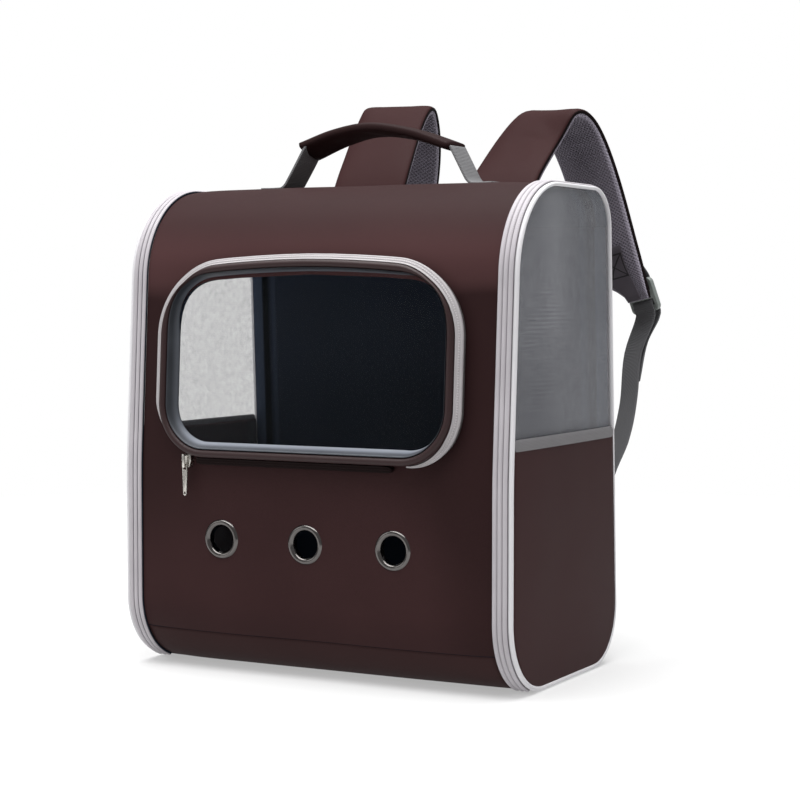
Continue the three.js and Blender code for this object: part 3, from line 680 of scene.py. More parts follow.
SIDE_FOOT = 0.0034
SIDE_TOP = 0.3966
SHEET_THICK = 0.0012
SHEET_CUTS = 40
SHEET_BACK_CUTS = 8
SHEET_SLACK = 0.0007
MESH_FACE = 0.1768
MESH_BULGE = 0.0016
POCKET_FACE = 0.1786
POCKET_BULGE = 0.0026
BINDING_FOOT = 0.191
BINDING_TOP = 0.200
BINDING_BULGE = 0.0020
BINDING_CUTS = 30
BINDING_SECTION = [
    (0.1771, 0.1912), (0.1788, 0.1911), (0.1795, 0.1925), (0.1797, 0.1955), (0.1795, 0.1985),
    (0.1788, 0.2000), (0.1771, 0.2018),
]
POCKET_TOP = BINDING_FOOT + 0.0050
side_edge = [point - normal * SIDE_FOOT * slimmer(normal) for point, normal in full_run]

mesh_finish, mesh_shader, mesh_start = new_finish("side_mesh", {"Roughness": 0.8, "Specular IOR Level": 0.1})
mesh_along, mesh_across = cut_places(mesh_start)
mesh_cells = mesh_along.wave(0.0016) * 0.5 + mesh_across.wave(0.0022) * 0.5
mesh_share = mesh_cells * 0.10 + mottle(mesh_start, 190.0, 3.0) * 0.9 + 0.05
mesh_threads = mesh_along.wave(0.0034) * mottle(mesh_start, 30.0).ramp(0.45, 0.75)
mesh_x, mesh_y, mesh_z = object_places(mesh_start)
# Painted light and shade on the mesh: a lighter band down the front part of its upper half, darker towards
# the back, and darker low at the front.
mesh_painted_fold_light = abs(mesh_y + 0.024).ramp(0.034, 0.0) * 0.36 - mesh_y.ramp(0.0, 0.03) * 0.16
mesh_painted_sag_shade = mesh_y.ramp(-0.01, -0.06) * mesh_z.ramp(0.29, 0.23) * 0.3
mesh_tone = mesh_share + mesh_painted_fold_light * mesh_z.ramp(0.25, 0.31) - mesh_painted_sag_shade
mesh_tone = mesh_tone + mesh_threads * mesh_z.ramp(0.36, 0.31) * 0.35
mesh_grain = (mesh_share - 0.5) * mesh_x.ramp(-0.1, 0.1, 0.22, 0.06)
feed(mesh_shader, "Base Color", mesh_tone.mix((0.245, 0.25, 0.272, 1), (0.455, 0.46, 0.49, 1)))
feed(mesh_shader, "Alpha", mesh_grain + mesh_x.ramp(-0.1, 0.1, 0.262, 0.29))
raise_up(mesh_start, mesh_shader, mesh_cells, 0.2, 0.0004)
mesh_wall = side_wall("right_mesh_wall", MESH_FACE, SIDE_FOOT, SIDE_TOP, MESH_BULGE)
mesh_wall.data.materials.append(mesh_finish)
stretch_over(both_sides(mesh_wall, "side_mesh"), SIDE_FOOT, SIDE_TOP)

pocket = side_wall("right_pocket_cloth", POCKET_FACE, SIDE_FOOT, POCKET_TOP, POCKET_BULGE, droop=0.6)
pocket.data.materials.append(brown_cloth)
stretch_over(both_sides(pocket, "pocket"), SIDE_FOOT, POCKET_TOP)

binding_finish, binding_shader, binding_start = new_finish("pocket_binding", {"Roughness": 0.7})
binding_along, binding_across = cut_places(binding_start)
binding_ribs = binding_across.wave(0.0011) * 0.6 + binding_along.wave(0.0016) * 0.4
binding_share = binding_ribs * 0.3 + mottle(binding_start, 40.0) * 0.4 + 0.3
feed(binding_shader, "Base Color", binding_share.mix((0.11, 0.105, 0.11, 1), (0.17, 0.165, 0.172, 1)))
raise_up(binding_start, binding_shader, binding_ribs, 0.4, 0.0003)
binding_rows = rows_across(side_edge, BINDING_FOOT, BINDING_TOP)
(_, y0, _), (_, _, y1) = binding_rows[0], binding_rows[-1]
binding_rings = []
for k in range(BINDING_CUTS + 1):
    share = k / BINDING_CUTS
    y = y0 + (y1 - y0) * share
    swell = BINDING_BULGE * (4 * share * (1 - share)) ** 0.7
    binding_rings.append([(x + swell, y, z) for x, z in BINDING_SECTION])
binding = loft("right_binding_band", binding_rings, smooth=1)
binding.data.materials.append(binding_finish)
both_sides(binding, "pocket_binding")


# Window frame
# The flap unzips along its top and sides. Its rim is brown cloth over a stiff core, standing up from the
# front, with a light zip round the outside. Along the foot it is sewn down, which is its hinge.
def front_at(z):
    """The front's outline at a height: the point and the normal, in y and z."""
    for (p0, n0), (p1, n1) in zip(front_run, front_run[1:]):
        if p0.y <= z < p1.y:
            share = (z - p0.y) / (p1.y - p0.y)
            return p0.lerp(p1, share), n0.lerp(n1, share).normalized()


def at_window(station, side, out):
    """A place by the window's outline: side is away from the window along the front, out is off the front."""
    point, away = station
    spot, normal = front_at(point.y)
    rise = Vector((0, normal.y, -normal.x))
    face = Vector((0, normal.x, normal.y))
    centre = Vector((point.x, spot.x, point.y))
    return centre + (Vector((away.x, 0, 0)) + rise * away.y) * side + face * out


def round_window(name, run, section, taper=0.0):
    """A section carried round the window, which may get smaller towards both ends."""
    first = Vector(section[0])
    rings = []
    for n, station in enumerate(run):
        size = 1 - taper * max(0, 1 - min(n, len(run) - 1 - n) / TAPER_STATIONS)
        ring = [first.lerp(Vector(place), size) for place in section]
        rings.append([at_window(station, side, out) for side, out in ring])
    return loft(name, rings, smooth=1)


TAPER_STATIONS = 20
RIM_OUTSIDE = -0.0059
RIM_WIDTH = 0.0063
RIM_SECTION = [
    (-0.0122, 0.0003), (RIM_OUTSIDE, 0.0003), (RIM_OUTSIDE, 0.0110), (-0.0061, 0.0128), (-0.0073, 0.0141),
    (-0.0090, 0.0146), (-0.0107, 0.0141), (-0.0119, 0.0128), (-0.0122, 0.0110),
]
frame_arcs = [corner_arc(WINDOW_OUTLINE, row[0]) for row in WINDOW_OUTLINE]
frame_run = walk(*frame_arcs, [frame_arcs[0][0]])[:-1]
rim_rings = []
for station in frame_run:
    slim = 1 - corner_trim(station[1]) / RIM_WIDTH
    ring = [(RIM_OUTSIDE + (side - RIM_OUTSIDE) * slim, out) for side, out in RIM_SECTION]
    rim_rings.append([at_window(station, side, out) for side, out in ring])
rim = loft("window_rim_cloth", rim_rings, closed=True, smooth=1)
rim_cloth = woven(
    "rim_cloth", (0.0200, 0.0084, 0.0088), (0.0290, 0.0126, 0.0132), gloss=0.25, roughness=0.45,
)
rim.data.materials.append(rim_cloth)
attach(rim, "bag")
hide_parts("window_rim")

TAPE_WALL = [(-0.0058, 0.0003), (-0.0012, 0.0003), (-0.0004, 0.0035), (0.0, 0.0066)]
TAPE_RIBS = [
    (0.0, 0.0), (0.0005, 0.0003), (0.0014, 0.0003), (0.0019, -0.0002), (0.0024, -0.0002), (0.0026, 0.0004),
    (0.0040, 0.0004), (0.0042, -0.0002), (0.0048, -0.0002), (0.0053, 0.0003), (0.0062, 0.0003), (0.0067, 0.0),
]
TAPE_FOOT = Vector((0.0, 0.0080))
tape_rise = Vector((-0.866, 0.5))
tape_face = Vector((0.5, 0.866))
ribbed = [TAPE_FOOT + tape_rise * t + tape_face * h for t, h in TAPE_RIBS]
tape_section = TAPE_WALL + [tuple(p) for p in ribbed]
tape_run = walk(corner_arc(WINDOW_OUTLINE, "foot_left", 0.333, 1), *frame_arcs[2:], frame_arcs[0])
window_zip = round_window("window_zip_tape", tape_run, tape_section, taper=0.8)
window_tape, tape_shader, tape_start = new_finish("window_zip_tape", {"Sheen Weight": 0.1})
tape_along, tape_across = cut_places(tape_start)
TAPE_COIL_PLACE = 0.0161
tape_coil = abs(tape_across - TAPE_COIL_PLACE).ramp(0.0011, 0.0005)
tape_turns = tape_along.wave(0.0020) * tape_coil
tape_ribs = tape_across.wave(0.0009) * (1 - tape_coil)
tape_patches = mottle(tape_start, 30.0)
tape_share = tape_patches * 0.4 + tape_turns * 0.3 + tape_ribs * 0.12 + 0.35
tape_colour = tape_share.mix((0.23, 0.215, 0.22, 1), (0.48, 0.455, 0.465, 1))
# The wall under the tape is brown cloth, darker than the rim's: its own colour with painted shade at the foot
# of the rim.
tape_on = tape_across.ramp(0.0100, 0.0116)
feed(tape_shader, "Base Color", tape_on.mix((0.0170, 0.0078, 0.0080, 1), tape_colour))
feed(tape_shader, "Roughness", tape_patches * 0.15 + 0.5)
raise_up(tape_start, tape_shader, tape_turns + tape_ribs * 0.3, 0.5, 0.0004)
window_zip.data.materials.append(window_tape)
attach(window_zip, "bag")
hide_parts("window_zip")

hinge_run = walk([frame_arcs[0][-1]], corner_arc(WINDOW_OUTLINE, "foot_left", 0, 0.111))[1:]
hinge = round_window("window_hinge_cloth", hinge_run, tape_section)
# The hinge is near-black cloth, which paints the shade line under the rim's foot.
hinge_shade_cloth = woven("hinge_shade_cloth", (0.0060, 0.0030, 0.0030), (0.0100, 0.0048, 0.0048))
hinge.data.materials.append(hinge_shade_cloth)
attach(hinge, "bag")
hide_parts("window_hinge")

# Window lip
# A soft grey plastic edging, welded to the pane and sewn inside the rim, that slopes down to the pane.
# It is broadest along the foot and on the left, and nearly hidden by the rim along the top.
LIP_START = 0.0125
LIP_TOP_CUT = 0.88
LIP_RIGHT_CUT = 0.6
LIP_SECTION = [
    (0.0, 0.0020), (0.0, 0.0122), (0.0004, 0.0129), (0.0011, 0.0128), (0.0017, 0.0119), (0.0037, 0.0078),
    (0.0057, 0.0038), (0.0059, 0.0030), (0.0059, 0.0020),
]
lip_finish, lip_shader, lip_start = new_finish("lip_plastic", {"Specular IOR Level": 0.3})
lip_patches = mottle(lip_start, 40.0)
lip_height = object_places(lip_start)[2]
_, lip_across = cut_places(lip_start)
# Painted light and shade: the lip is lighter along the foot, where the light falls, and lighter down the
# slope to the pane than beside the rim, where the rim's shade falls.
lip_painted_light = lip_height.ramp(0.215, 0.186) * (lip_across.ramp(0.0140, 0.0200) * 0.55 + 0.18)
lip_share = lip_painted_light + lip_across.ramp(0.0150, 0.0215) * 0.22 + lip_patches * 0.1
feed(lip_shader, "Base Color", lip_share.mix((0.014, 0.016, 0.020, 1), (0.27, 0.29, 0.335, 1)))
feed(lip_shader, "Roughness", lip_patches * 0.2 + 0.35)
raise_up(lip_start, lip_shader, mottle(lip_start, 260.0), 0.15, 0.0003)
lip_rings = []
for station in frame_run:
    away = station[1]
    reach = 1 - LIP_TOP_CUT * max(0, away.y) - LIP_RIGHT_CUT * max(0, away.x)
    start = corner_trim(away) - LIP_START
    lip_rings.append([at_window(station, start - side * reach, out) for side, out in LIP_SECTION])
lip = loft("window_lip_edge", lip_rings, closed=True, smooth=1)
lip.data.materials.append(lip_finish)
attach(lip, "bag")
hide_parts("window_lip")

# Window pane
# A sheet of clear film, welded into the lip all round.
# It has the faint haze that such film gets from handling.
PANE_INSET = 0.0126
PANE_FRONT = 0.0016
PANE_BACK = 0.0004
PANE_CUTS = 24
SIDEWAYS = Vector((1, 0))
pane_finish, pane_shader, pane_start = new_finish("clear_film", {"Alpha": 0.018, "IOR": 1.45})
pane_haze = mottle(pane_start, 12.0)
feed(pane_shader, "Base Color", pane_haze.mix((0.06, 0.07, 0.08, 1), (0.16, 0.17, 0.19, 1)))
feed(pane_shader, "Roughness", pane_haze * 0.08 + 0.03)
pane_edge = [point - normal * (PANE_INSET - corner_trim(normal)) for point, normal in frame_run]
pane_low = min(p.y for p in pane_edge)
pane_high = max(p.y for p in pane_edge)
pane_rings = []
for z, x0, x1 in rows_across(pane_edge, pane_low, pane_high):
    spots = [Vector((x0 + (x1 - x0) * k / PANE_CUTS, z)) for k in range(PANE_CUTS + 1)]
    ring = [at_window((p, SIDEWAYS), 0, PANE_FRONT) for p in spots]
    ring += [at_window((p, SIDEWAYS), 0, PANE_BACK) for p in reversed(spots)]
    pane_rings.append(ring)
pane = loft("window_pane_film", pane_rings)
pane.data.materials.append(pane_finish)
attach(pane, "bag")
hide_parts("window_pane")


# Zip slider and pull
# Cast and plated in one warm silver finish, with the edges rounded by the tumbling drum.
# The pull hangs on the bail and swings with its own body.
def rounded_copy(node, name, edge):
    """A copy of a solid with its sharp edges rounded."""
    copy = bpy.data.objects.new(name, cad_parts[node].data.copy())
    bpy.context.scene.collection.objects.link(copy)
    copy.data.materials.clear()
    pick(copy)
    bpy.ops.object.mode_set(mode="EDIT")
    bpy.ops.mesh.select_all(action="SELECT")
    bpy.ops.mesh.remove_doubles(threshold=0.00001)
    bpy.ops.mesh.dissolve_limited(angle_limit=math.radians(3))
    bpy.ops.object.mode_set(mode="OBJECT")
    rounding = copy.modifiers.new("rounding", "BEVEL")
    rounding.width = edge
    rounding.segments = 3
    rounding.limit_method = "ANGLE"
    rounding.angle_limit = math.radians(35)
    bpy.ops.object.modifier_apply(modifier="rounding")
    bpy.ops.object.shade_smooth_by_angle(angle=math.radians(40))
    return copy


def plated(name, dark, light, roughness):
    """Plated metal with fine scratches and slightly uneven gloss."""
    finish, shader, start = new_finish(name, {"Metallic": 1.0})
    patches = mottle(start, 120.0)
    feed(shader, "Base Color", patches.mix((*dark, 1), (*light, 1)))
    feed(shader, "Roughness", mottle(start, 500.0) * 0.14 + (roughness - 0.07))
    raise_up(start, shader, mottle(start, 900.0), 0.08, 0.0002)
    return finish


silver = plated("warm_silver", (0.44, 0.42, 0.39), (0.66, 0.63, 0.59), 0.26)
PULL_MIDDLE = -0.1135
PULL_SLIMNESS = 0.7
METAL_EDGE = 0.0004
for node, name, body in (
    ("window_slider", "window_slider_body", "bag"),
    ("pull_tab", "pull_tab_body", "pull"),
):
    metal = rounded_copy(node, name, METAL_EDGE)
    if node == "pull_tab":
        bpy.ops.object.mode_set(mode="EDIT")
        bpy.ops.mesh.select_all(action="SELECT")
        bpy.ops.transform.resize(value=(PULL_SLIMNESS, 1, 1), center_override=(PULL_MIDDLE, 0, 0))
        bpy.ops.object.mode_set(mode="OBJECT")
    metal.data.materials.append(silver)
    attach(metal, body)
    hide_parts(node)

# Vent eyelets
# Pressed rings of dark plated metal with a rounded face, set through the front panel.
# Each barrel is rolled over behind the panel, which holds it.
EYELET_POINTS = 64
EYELET_SECTION = [
    (0.0110, -0.0044), (0.0145, -0.0044), (0.0145, -0.0033), (0.0118, -0.0033), (0.0118, 0.0003),
    (0.0159, 0.0003), (0.0162, 0.0008), (0.0157, 0.0015), (0.0149, 0.0022), (0.0138, 0.0025),
    (0.0127, 0.0022), (0.0119, 0.0016), (0.0112, 0.0008), (0.0110, 0.0),
]
gunmetal = plated("gunmetal", (0.085, 0.080, 0.078), (0.15, 0.14, 0.135), 0.18)
for place, x in zip(("left", "middle", "right"), VENT_PLACES):
    rings = []
    for k in range(EYELET_POINTS):
        angle = 2 * math.pi * k / EYELET_POINTS
        across, up = math.cos(angle), math.sin(angle)
        rings.append([(x + r * across, FRONT_FACE - out, VENT_HEIGHT + r * up) for r, out in EYELET_SECTION])
    eyelet = loft(f"eyelet_{place}_ring", rings, closed=True)
    bpy.ops.object.shade_smooth_by_angle(angle=math.radians(50))
    eyelet.data.materials.append(gunmetal)
    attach(eyelet, "bag")
    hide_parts(f"eyelet_{place}")


# Carrying handle
# Two lengths of grey webbing are sewn to the top, and a padded grip of brown cloth is rolled round them.
# The left one ends at a slant inside the grip, which has rolled a little to the back there.
def strip_stations(rows, per_span, lateral):
    """Middle, side, along, outward and turn on a smooth line through rows of x, y, z and turn about Z."""
    points = [Vector(row[:3]) for row in rows]
    ends = [points[0] * 2 - points[1], *points, points[-1] * 2 - points[-2]]
    stations = []
    for i in range(len(points) - 1):
        a, b, c, d = ends[i:i + 4]
        t0, t1, t2 = ((q - p).length ** 0.5 for p, q in ((a, b), (b, c), (c, d)))
        leave = ((b - a) / t0 - (c - a) / (t0 + t1) + (c - b) / t1) * t1
        reach = ((c - b) / t1 - (d - b) / (t1 + t2) + (d - c) / t2) * t1
        for k in range(per_span + (i == len(points) - 2)):
            t = k / per_span
            bend = (b - c) * 2 + leave + reach
            ease = (c - b) * 3 - leave * 2 - reach
            centre = bend * t ** 3 + ease * t ** 2 + leave * t + b
            along = (bend * (3 * t ** 2) + ease * (2 * t) + leave).normalized()
            turn = rows[i][3] + (rows[i + 1][3] - rows[i][3]) * t
            side = Matrix.Rotation(math.radians(turn), 3, "Z") @ lateral
            side = (side - along * along.dot(side)).normalized()
            stations.append((centre, side, along, side.cross(along), turn))
    return stations


def strip(name, stations, sections, skew=0.0):
    """A strip with a section at each station. Skew slants its far end."""
    rings = []
    for n, ((centre, side, along, out, _), section) in enumerate(zip(stations, sections)):
        slant = skew * max(0, 2 * n / (len(stations) - 1) - 1)
        rings.append([centre + side * s + out * o - along * (s * slant) for s, o in section])
    return loft(name, rings)


def even_strip(name, stations, section, skew=0.0):
    """A strip with the same section all along."""
    return strip(name, stations, [section] * len(stations), skew)


def flat_section(width, low, high, edge, cuts=10):
    """A strip's outline with rounded edges and a few points across each face."""
    half = width / 2
    soft = edge * 0.3
    face = [-half + edge + (width - 2 * edge) * k / cuts for k in range(cuts + 1)]
    section = [(s, low) for s in face]
    section += [(half - soft, low + soft), (half, low + edge)]
    section += [(half, high - edge), (half - soft, high - soft)]
    section += [(s, high) for s in reversed(face)]
    section += [(soft - half, high - soft), (-half, high - edge)]
    section += [(-half, low + edge), (soft - half, low + soft)]
    return section


def ribbed_webbing(name, dark, light):
    """Webbing with close ribs across it."""
    finish, shader, start = new_finish(name, {"Specular IOR Level": 0.25})
    along, across = cut_places(start)
    ribs = along.wave(0.0014) * 0.6 + across.wave(0.0018) * 0.4
    patches = mottle(start, 25.0)
    share = ribs * 0.3 + patches * 0.5 + 0.25
    feed(shader, "Base Color", share.mix((*dark, 1), (*light, 1)))
    feed(shader, "Roughness", patches * 0.15 + 0.6)
    raise_up(start, shader, ribs, 0.5, 0.0004)
    return finish


HANDLE_WIDTH = 0.028
LEFT_WIDTH = 0.032
LEFT_SKEW = 0.30
HANDLE_HALF_THICK = 0.0011
HANDLE_EDGE = 0.0005
HANDLE_Y = 0.013
HANDLE_FOOT = [
    (0.1105, HANDLE_Y, 0.4022, 0), (0.0965, HANDLE_Y, 0.4022, 0), (0.0908, HANDLE_Y, 0.4028, 0),
    (0.0875, HANDLE_Y, 0.4055, 0), (0.0845, HANDLE_Y, 0.4105, 0), (0.0785, HANDLE_Y, 0.4216, 0),
    (0.0722, HANDLE_Y, 0.4332, 0),
]
LEFT_Y = HANDLE_Y + 0.0018
LEFT_FOOT = [
    (0.1105, LEFT_Y, 0.4022, 0), (0.0962, LEFT_Y, 0.4022, 0), (0.0900, LEFT_Y, 0.4028, 0),
    (0.0866, LEFT_Y, 0.4055, 0), (0.0832, LEFT_Y, 0.4105, 0), (0.0762, LEFT_Y, 0.4216, 0),
    (0.0700, LEFT_Y, 0.4318, 0), (0.0684, LEFT_Y, 0.4342, 0),
]
GRIP_ROUTE = [
    (-0.0702, HANDLE_Y, 0.4341, 0), (-0.0380, HANDLE_Y, 0.4450, 0), (-0.0060, HANDLE_Y, 0.4502, 0),
    (0.0340, HANDLE_Y, 0.4450, 0), (0.0715, HANDLE_Y, 0.4330, 0),
]
handle_webbing = ribbed_webbing("handle_webbing", (0.13, 0.13, 0.135), (0.21, 0.21, 0.215))
backwards = Vector((0, 1, 0))
right_section = flat_section(HANDLE_WIDTH, -HANDLE_HALF_THICK, HANDLE_HALF_THICK, HANDLE_EDGE)
right_stations = strip_stations(HANDLE_FOOT, 8, backwards)
handle_web = even_strip("handle_web_right_strip", right_stations, right_section)
left_section = flat_section(LEFT_WIDTH, -HANDLE_HALF_THICK, HANDLE_HALF_THICK, HANDLE_EDGE)
left_stations = strip_stations(LEFT_FOOT, 8, backwards)
left_web = even_strip("handle_web_left_strip", left_stations, left_section, LEFT_SKEW)
flip(left_web)
handle_web.data.materials.append(handle_webbing)
left_web.data.materials.append(handle_webbing)
for made, node in ((handle_web, "handle_web_right"), (left_web, "handle_web_left")):
    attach(made, "bag")
    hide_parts(node)

grip_cloth = woven("grip_cloth", (0.0150, 0.0068, 0.0068), (0.0240, 0.0112, 0.0112), yarn=0.0010)
grip_stations = strip_stations(GRIP_ROUTE, 10, backwards)
GRIP_ROLL = 20
GRIP_POINTS = 32
GRIP_HALF_WIDTH = 0.0155
GRIP_HALF_THICK = 0.0045
GRIP_SWELL = 0.0008
GRIP_SEAMS = (0, 1, 15, 16, 17, 31)
grip_sections = []
for n in range(len(grip_stations)):
    share = n / (len(grip_stations) - 1)
    swell = 0.86 + 0.14 * math.sin(math.pi * share) ** 0.5
    roll = Matrix.Rotation(math.radians(GRIP_ROLL * (1 - share) ** 1.4), 2)
    section = []
    for k in range(GRIP_POINTS):
        angle = 2 * math.pi * k / GRIP_POINTS
        across, up = math.cos(angle), math.sin(angle)
        across = math.copysign(abs(across) ** 0.6, across) * GRIP_HALF_WIDTH
        up = math.copysign(abs(up) ** 0.6, up) * GRIP_HALF_THICK * swell
        section.append(tuple(roll @ Vector((across, up))))
    grip_sections.append(section)
grip = strip("handle_grip_cloth", grip_stations, grip_sections)
grip_loose = [k for k in range(GRIP_POINTS) if k not in GRIP_SEAMS]
puff(grip, held_points(len(grip_stations), GRIP_POINTS, grip_loose), GRIP_SWELL)
grip.data.materials.append(grip_cloth)
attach(grip, "bag")
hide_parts("handle_grip")


# Shoulder straps
# Foam faced with grey air mesh on the wearer's side and brown cloth on the other, sewn together at the edges.
# They are sewn to the back panel, stand up off the back seam and bend over, the left one a little higher.
def eased(stations):
    """The same stations with their bends and twists evened out, as foam would even them."""
    centres = [station[0] for station in stations]
    sides = [station[1] for station in stations]
    for line, passes in ((centres, 16), (sides, 60)):
        for _ in range(passes):
            line[1:-1] = [(a + b * 2 + c) / 4 for a, b, c in zip(line, line[1:], line[2:])]
    even = []
    for n, (centre, side) in enumerate(zip(centres, sides)):
        along = (centres[min(n + 1, len(centres) - 1)] - centres[max(n - 1, 0)]).normalized()
        side = (side - along * along.dot(side)).normalized()
        even.append((centre, side, along, side.cross(along), stations[n][4]))
    return even


STRAP_WIDTH = 0.070
STRAP_TIP = 0.024
STRAP_TAPER = 0.040
STRAP_LEAN = 0.022
STRAP_SPAN = 9
STRAP_CUTS = 12
STRAP_ACROSS = 2 * STRAP_CUTS + 1
STRAP_POINTS = 2 * STRAP_ACROSS
STRAP_SWELL = 0.0010
STRAP_PINCH = 0.004
STRAP_END = 0.008
# Under and over the pad, then under and over the cover: height in the middle, drop at the edges, lift
STRAP_LAYERS = (
    (-0.0048, -0.0020, 0.0), (0.0033, 0.0016, 0.0), (0.0036, 0.0016, 0.0), (0.0046, 0.0018, 0.0004),
)
PATCH_WIDTH = 0.044
PATCH_FACE = -0.0070
PATCH_BACK = -0.0058
STRAP_ROUTES = {
    "right": [
        (0.0660, 0.0962, 0.3380, 0), (0.0660, 0.0979, 0.3718, 0), (0.0631, 0.1121, 0.4007, -7),
        (0.0617, 0.1440, 0.4245, -14), (0.0652, 0.1738, 0.4510, -12), (0.0790, 0.1932, 0.4757, -12),
        (0.0901, 0.2125, 0.4590, -25), (0.1057, 0.2275, 0.4074, -30), (0.1178, 0.2325, 0.3525, -26),
        (0.1295, 0.2341, 0.3015, -19),
    ],
    "left": [
        (0.0660, 0.0962, 0.3380, 0), (0.0660, 0.0979, 0.3720, 0), (0.0666, 0.1131, 0.4069, -2),
        (0.0729, 0.1437, 0.4386, 3), (0.0789, 0.1750, 0.4690, 4), (0.0804, 0.1977, 0.4864, 6),
        (0.0856, 0.2190, 0.4552, 0), (0.0999, 0.2318, 0.4018, -9), (0.1156, 0.2360, 0.3508, -14),
        (0.1310, 0.2360, 0.3040, -17),
    ],
}
air_mesh, air_shader, air_start = new_finish("air_mesh", {"Specular IOR Level": 0.2, "Roughness": 0.8})
air_along, air_across = cut_places(air_start)
air_rise = (air_along + air_across * 0.8).wave(0.0036)
air_fall = (air_along - air_across * 0.8).wave(0.0036)
air_dots = air_rise.most(air_fall)
# Painted highlight along the pad's edges.
air_edge_highlight = abs(air_across - STRAP_WIDTH / 2).ramp(0.0320, 0.0345)
air_share = air_dots.ramp(0.0, 1.0) * 0.42 + mottle(air_start, 18.0) * 0.3 + air_edge_highlight * 0.7
feed(air_shader, "Base Color", air_share.mix((0.060, 0.052, 0.065, 1), (0.30, 0.275, 0.33, 1)))
raise_up(air_start, air_shader, air_dots, 0.6, 0.0009)
grey_webbing = ribbed_webbing("grey_webbing", (0.062, 0.062, 0.066), (0.108, 0.108, 0.114))
cover_cloth = woven("strap_cover_cloth", (0.0215, 0.0070, 0.0072), (0.0315, 0.0108, 0.0110))
# Near-black cloth for the covers' outer edge faces: the cover's brown darkened with painted shade where the
# edge turns from the light.
edge_shade_cloth = woven("strap_edge_shade_cloth", (0.0045, 0.0026, 0.0028), (0.0080, 0.0044, 0.0046))

# A box with a cross in it, sewn through the patch in dark thread
patch_fixed = {"Specular IOR Level": 0.2, "Roughness": 0.75}
patch_finish, patch_shader, patch_start = new_finish("strap_patch", patch_fixed)
patch_along, patch_across = cut_places(patch_start)
box_up = abs(patch_along - 0.0190) * (1 / 0.0125)
box_out = abs(patch_across - 0.0216) * (1 / 0.0105)
box_rim = box_up.most(box_out)
box_line = abs(box_rim - 0.93).ramp(0.075, 0.04)
box_cross = abs(box_up - box_out).ramp(0.10, 0.05) * box_rim.ramp(1.0, 0.98)
sewn = box_line.most(box_cross)
patch_weave = patch_along.wave(0.0016) * patch_across.wave(0.0016)
patch_share = mottle(patch_start, 30.0) * 0.5 + patch_weave * 0.12 + 0.2 - sewn
feed(patch_shader, "Base Color", patch_share.mix((0.012, 0.010, 0.012, 1), (0.115, 0.100, 0.120, 1)))
raise_up(patch_start, patch_shader, patch_weave * 0.2 - sewn, 0.6, 0.0005)

EDGE_POINTS = {0, 1, 23, 24, 25, 26, 48, 49}
PAD_LOOSE = range(2, STRAP_ACROSS - 2)
COVER_LOOSE = range(STRAP_ACROSS + 2, STRAP_POINTS - 2)
strap_tips = {}
for side, rows in STRAP_ROUTES.items():
    stations = eased(strip_stations(rows, STRAP_SPAN, Vector((1, 0, 0))))
    left = [0.0]
    for (a, *_), (b, *_) in zip(reversed(stations), list(reversed(stations))[1:]):
        left.append(left[-1] + (b - a).length)
    pads, covers, patches, leaning = [], [], [], []
    for (centre, across, along, out, turn), rest in zip(stations, reversed(left)):
        share = min(1, rest / STRAP_TAPER)
        share = share * share * (3 - 2 * share)
        leaning.append((centre + across * (STRAP_LEAN * (1 - share)), across, along, out, turn))
        half = (STRAP_TIP + (STRAP_WIDTH - STRAP_TIP) * share) / 2
        spots = [half * math.sin(math.pi / 2 * k / STRAP_CUTS) for k in range(-STRAP_CUTS, STRAP_CUTS + 1)]
        pinch = [math.exp(-(half - abs(s)) / STRAP_PINCH) for s in spots]
        sewn_down = 0.65 * math.exp(-(left[-1] - rest) / STRAP_END) + 0.35 * math.exp(-rest / STRAP_END)
        full = 1 - sewn_down
        low, high, under, over = (
            [(s, (height - drop * p) * full + lift) for s, p in zip(spots, pinch)]
            for height, drop, lift in STRAP_LAYERS
        )
        pads.append(low + high[::-1])
        for k, end in ((0, -1), (STRAP_ACROSS - 1, 1)):
            under[k] = (end * (half + 0.0001), -0.0007 * full)
            over[k] = (end * (half + 0.0010), -0.0003 * full)
            over[k - end] = (end * (half + 0.0008), 0.0024 * full)
        covers.append(under + over[::-1])
        patches.append(flat_section(PATCH_WIDTH * half * 2 / STRAP_WIDTH, PATCH_FACE, PATCH_BACK, 0.0004))
    count = len(stations)
    pad = strip(f"{side}_strap_pad_mesh", leaning, pads)
    puff(pad, held_points(count, STRAP_POINTS, PAD_LOOSE), STRAP_SWELL)
    pad.data.materials.append(air_mesh)
    cover = strip(f"{side}_strap_cover_cloth", leaning, covers)
    puff(cover, held_points(count, STRAP_POINTS, COVER_LOOSE), STRAP_SWELL)
    cover.data.materials.append(cover_cloth)
    cover.data.materials.append(edge_shade_cloth)
    # The cover's edge faces take the near-black cloth, as painted shade.
    for face in cover.data.polygons:
        if all(v % STRAP_POINTS in EDGE_POINTS for v in face.vertices):
            face.material_index = 1
    patch_stations = leaning[-STRAP_SPAN - 1:]
    patch = strip(f"{side}_strap_patch_web", patch_stations, patches[-STRAP_SPAN - 1:])
    patch.data.materials.append(patch_finish)
    strap_tips[side] = stations
    for made, node in ((pad, "strap_pad"), (cover, "strap_cover"), (patch, "strap_patch")):
        if side == "left":
            flip(made)
        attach(made, "bag")
        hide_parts(f"{side}_{node}")

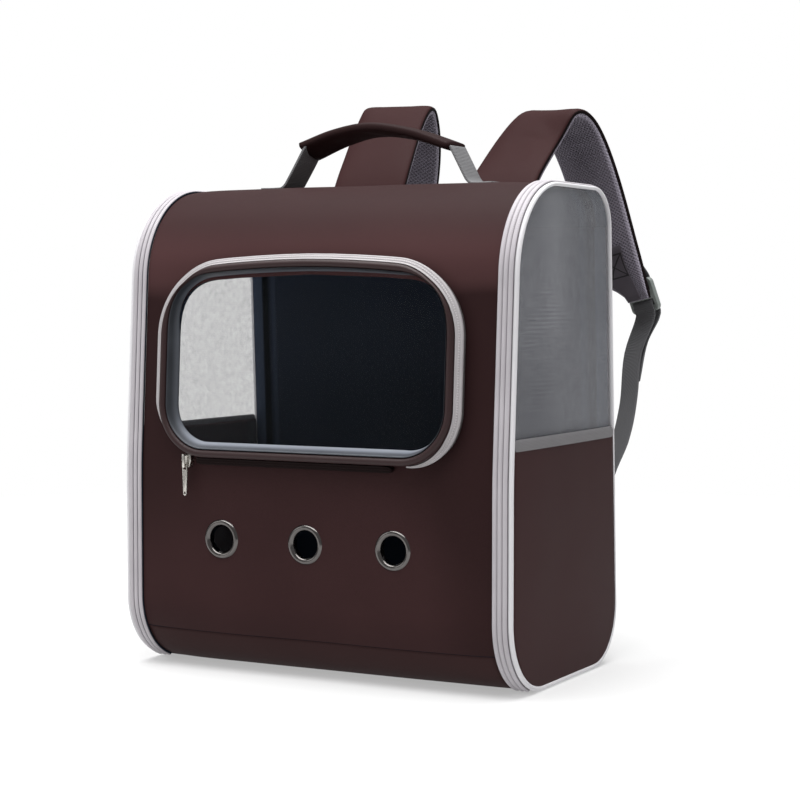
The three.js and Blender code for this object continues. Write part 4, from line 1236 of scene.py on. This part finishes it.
# Strap adjusters
# A moulded plastic buckle hangs on each strap's tip by a sewn loop of webbing. The webbing from the lower
# back corner goes over the buckle's lower bar and hangs down behind as a loose tail.
BUCKLE_ASIDE = STRAP_LEAN - 0.0075
BUCKLE_BACK = 0.004
BUCKLE_OUT = 0.0145
BUCKLE_TILT = 0.15
BUCKLE_EDGE = 0.0008
LOOP_LIFT = 0.00765
LOOP_LAYER = 0.0022
WEBBING_WIDTH = 0.023
WEBBING_HALF_THICK = 0.0008
BAR_TURN = [
    (0.0170, -0.0040), (0.0100, -0.0037), (0.0060, -0.0024), (0.0046, 0.0),
    (0.0060, 0.0024), (0.0100, 0.0037), (0.0170, 0.0040),
]
WEBBING_ROUTE = [
    (0.1560, 0.1066, 0.0660, 1), (0.1560, 0.1062, 0.0920, 1), (0.1555, 0.1130, 0.1220, 0.8),
    (0.1530, 0.1376, 0.1517, 0.2), (0.1500, 0.1820, 0.1820, -0.3), (0.1440, 0.2165, 0.2160, -0.4),
    (0.1402, 0.2365, 0.2580, -0.2),
]
TAIL_ROUTE = [(0.1430, 0.2445, 0.2680, -0.2), (0.1418, 0.2290, 0.2310, -0.4)]
webbing_section = flat_section(WEBBING_WIDTH, -WEBBING_HALF_THICK, WEBBING_HALF_THICK, 0.0004)
buckle_plastic, buckle_shader, buckle_start = new_finish("buckle_plastic", {"Specular IOR Level": 0.4})
buckle_patches = mottle(buckle_start, 60.0)
feed(buckle_shader, "Base Color", buckle_patches.mix((0.15, 0.17, 0.16, 1), (0.21, 0.23, 0.22, 1)))
feed(buckle_shader, "Roughness", buckle_patches * 0.15 + 0.4)
raise_up(buckle_start, buckle_shader, mottle(buckle_start, 700.0), 0.15, 0.0002)

for side, stations in strap_tips.items():
    centre, across, along, out, turn = stations[-1]
    middle = centre + across * BUCKLE_ASIDE - along * BUCKLE_BACK + out * BUCKLE_OUT
    tilted = Matrix.Rotation(BUCKLE_TILT, 3, across) @ along
    away = across.cross(tilted)
    buckle = rounded_copy(f"{side}_buckle", f"{side}_buckle_body", BUCKLE_EDGE)
    buckle.data.materials.append(buckle_plastic)
    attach(buckle, "bag")
    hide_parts(f"{side}_buckle")
    sewn_rows = []
    loop_top = LOOP_LIFT + LOOP_LAYER
    for n, height in ((-10, LOOP_LIFT), (-7, LOOP_LIFT), (-7, loop_top), (-10, loop_top)):
        spot, beside, _, off, spot_turn = stations[n]
        sewn_rows.append((*(spot + beside * BUCKLE_ASIDE + off * height), spot_turn - turn))
    bar_rows = [(*(middle - tilted * a + away * o), 0) for a, o in BAR_TURN]
    loop_rows = sewn_rows[:2] + bar_rows + sewn_rows[2:]
    loop = even_strip(f"{side}_buckle_loop_web", strip_stations(loop_rows, 6, across), webbing_section)
    web_rows = [(x, y, z, -level * turn) for x, y, z, level in WEBBING_ROUTE]
    web_rows += [(*(middle + tilted * a + away * o), 0) for a, o in BAR_TURN]
    web_rows += [(x, y, z, -level * turn) for x, y, z, level in TAIL_ROUTE]
    web = even_strip(f"{side}_webbing_web", strip_stations(web_rows, 6, across), webbing_section)
    for made, node in ((loop, "buckle_loop"), (web, "webbing")):
        made.data.materials.append(grey_webbing)
        if side == "left":
            flip(made)
        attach(made, "bag")
        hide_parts(f"{side}_{node}")
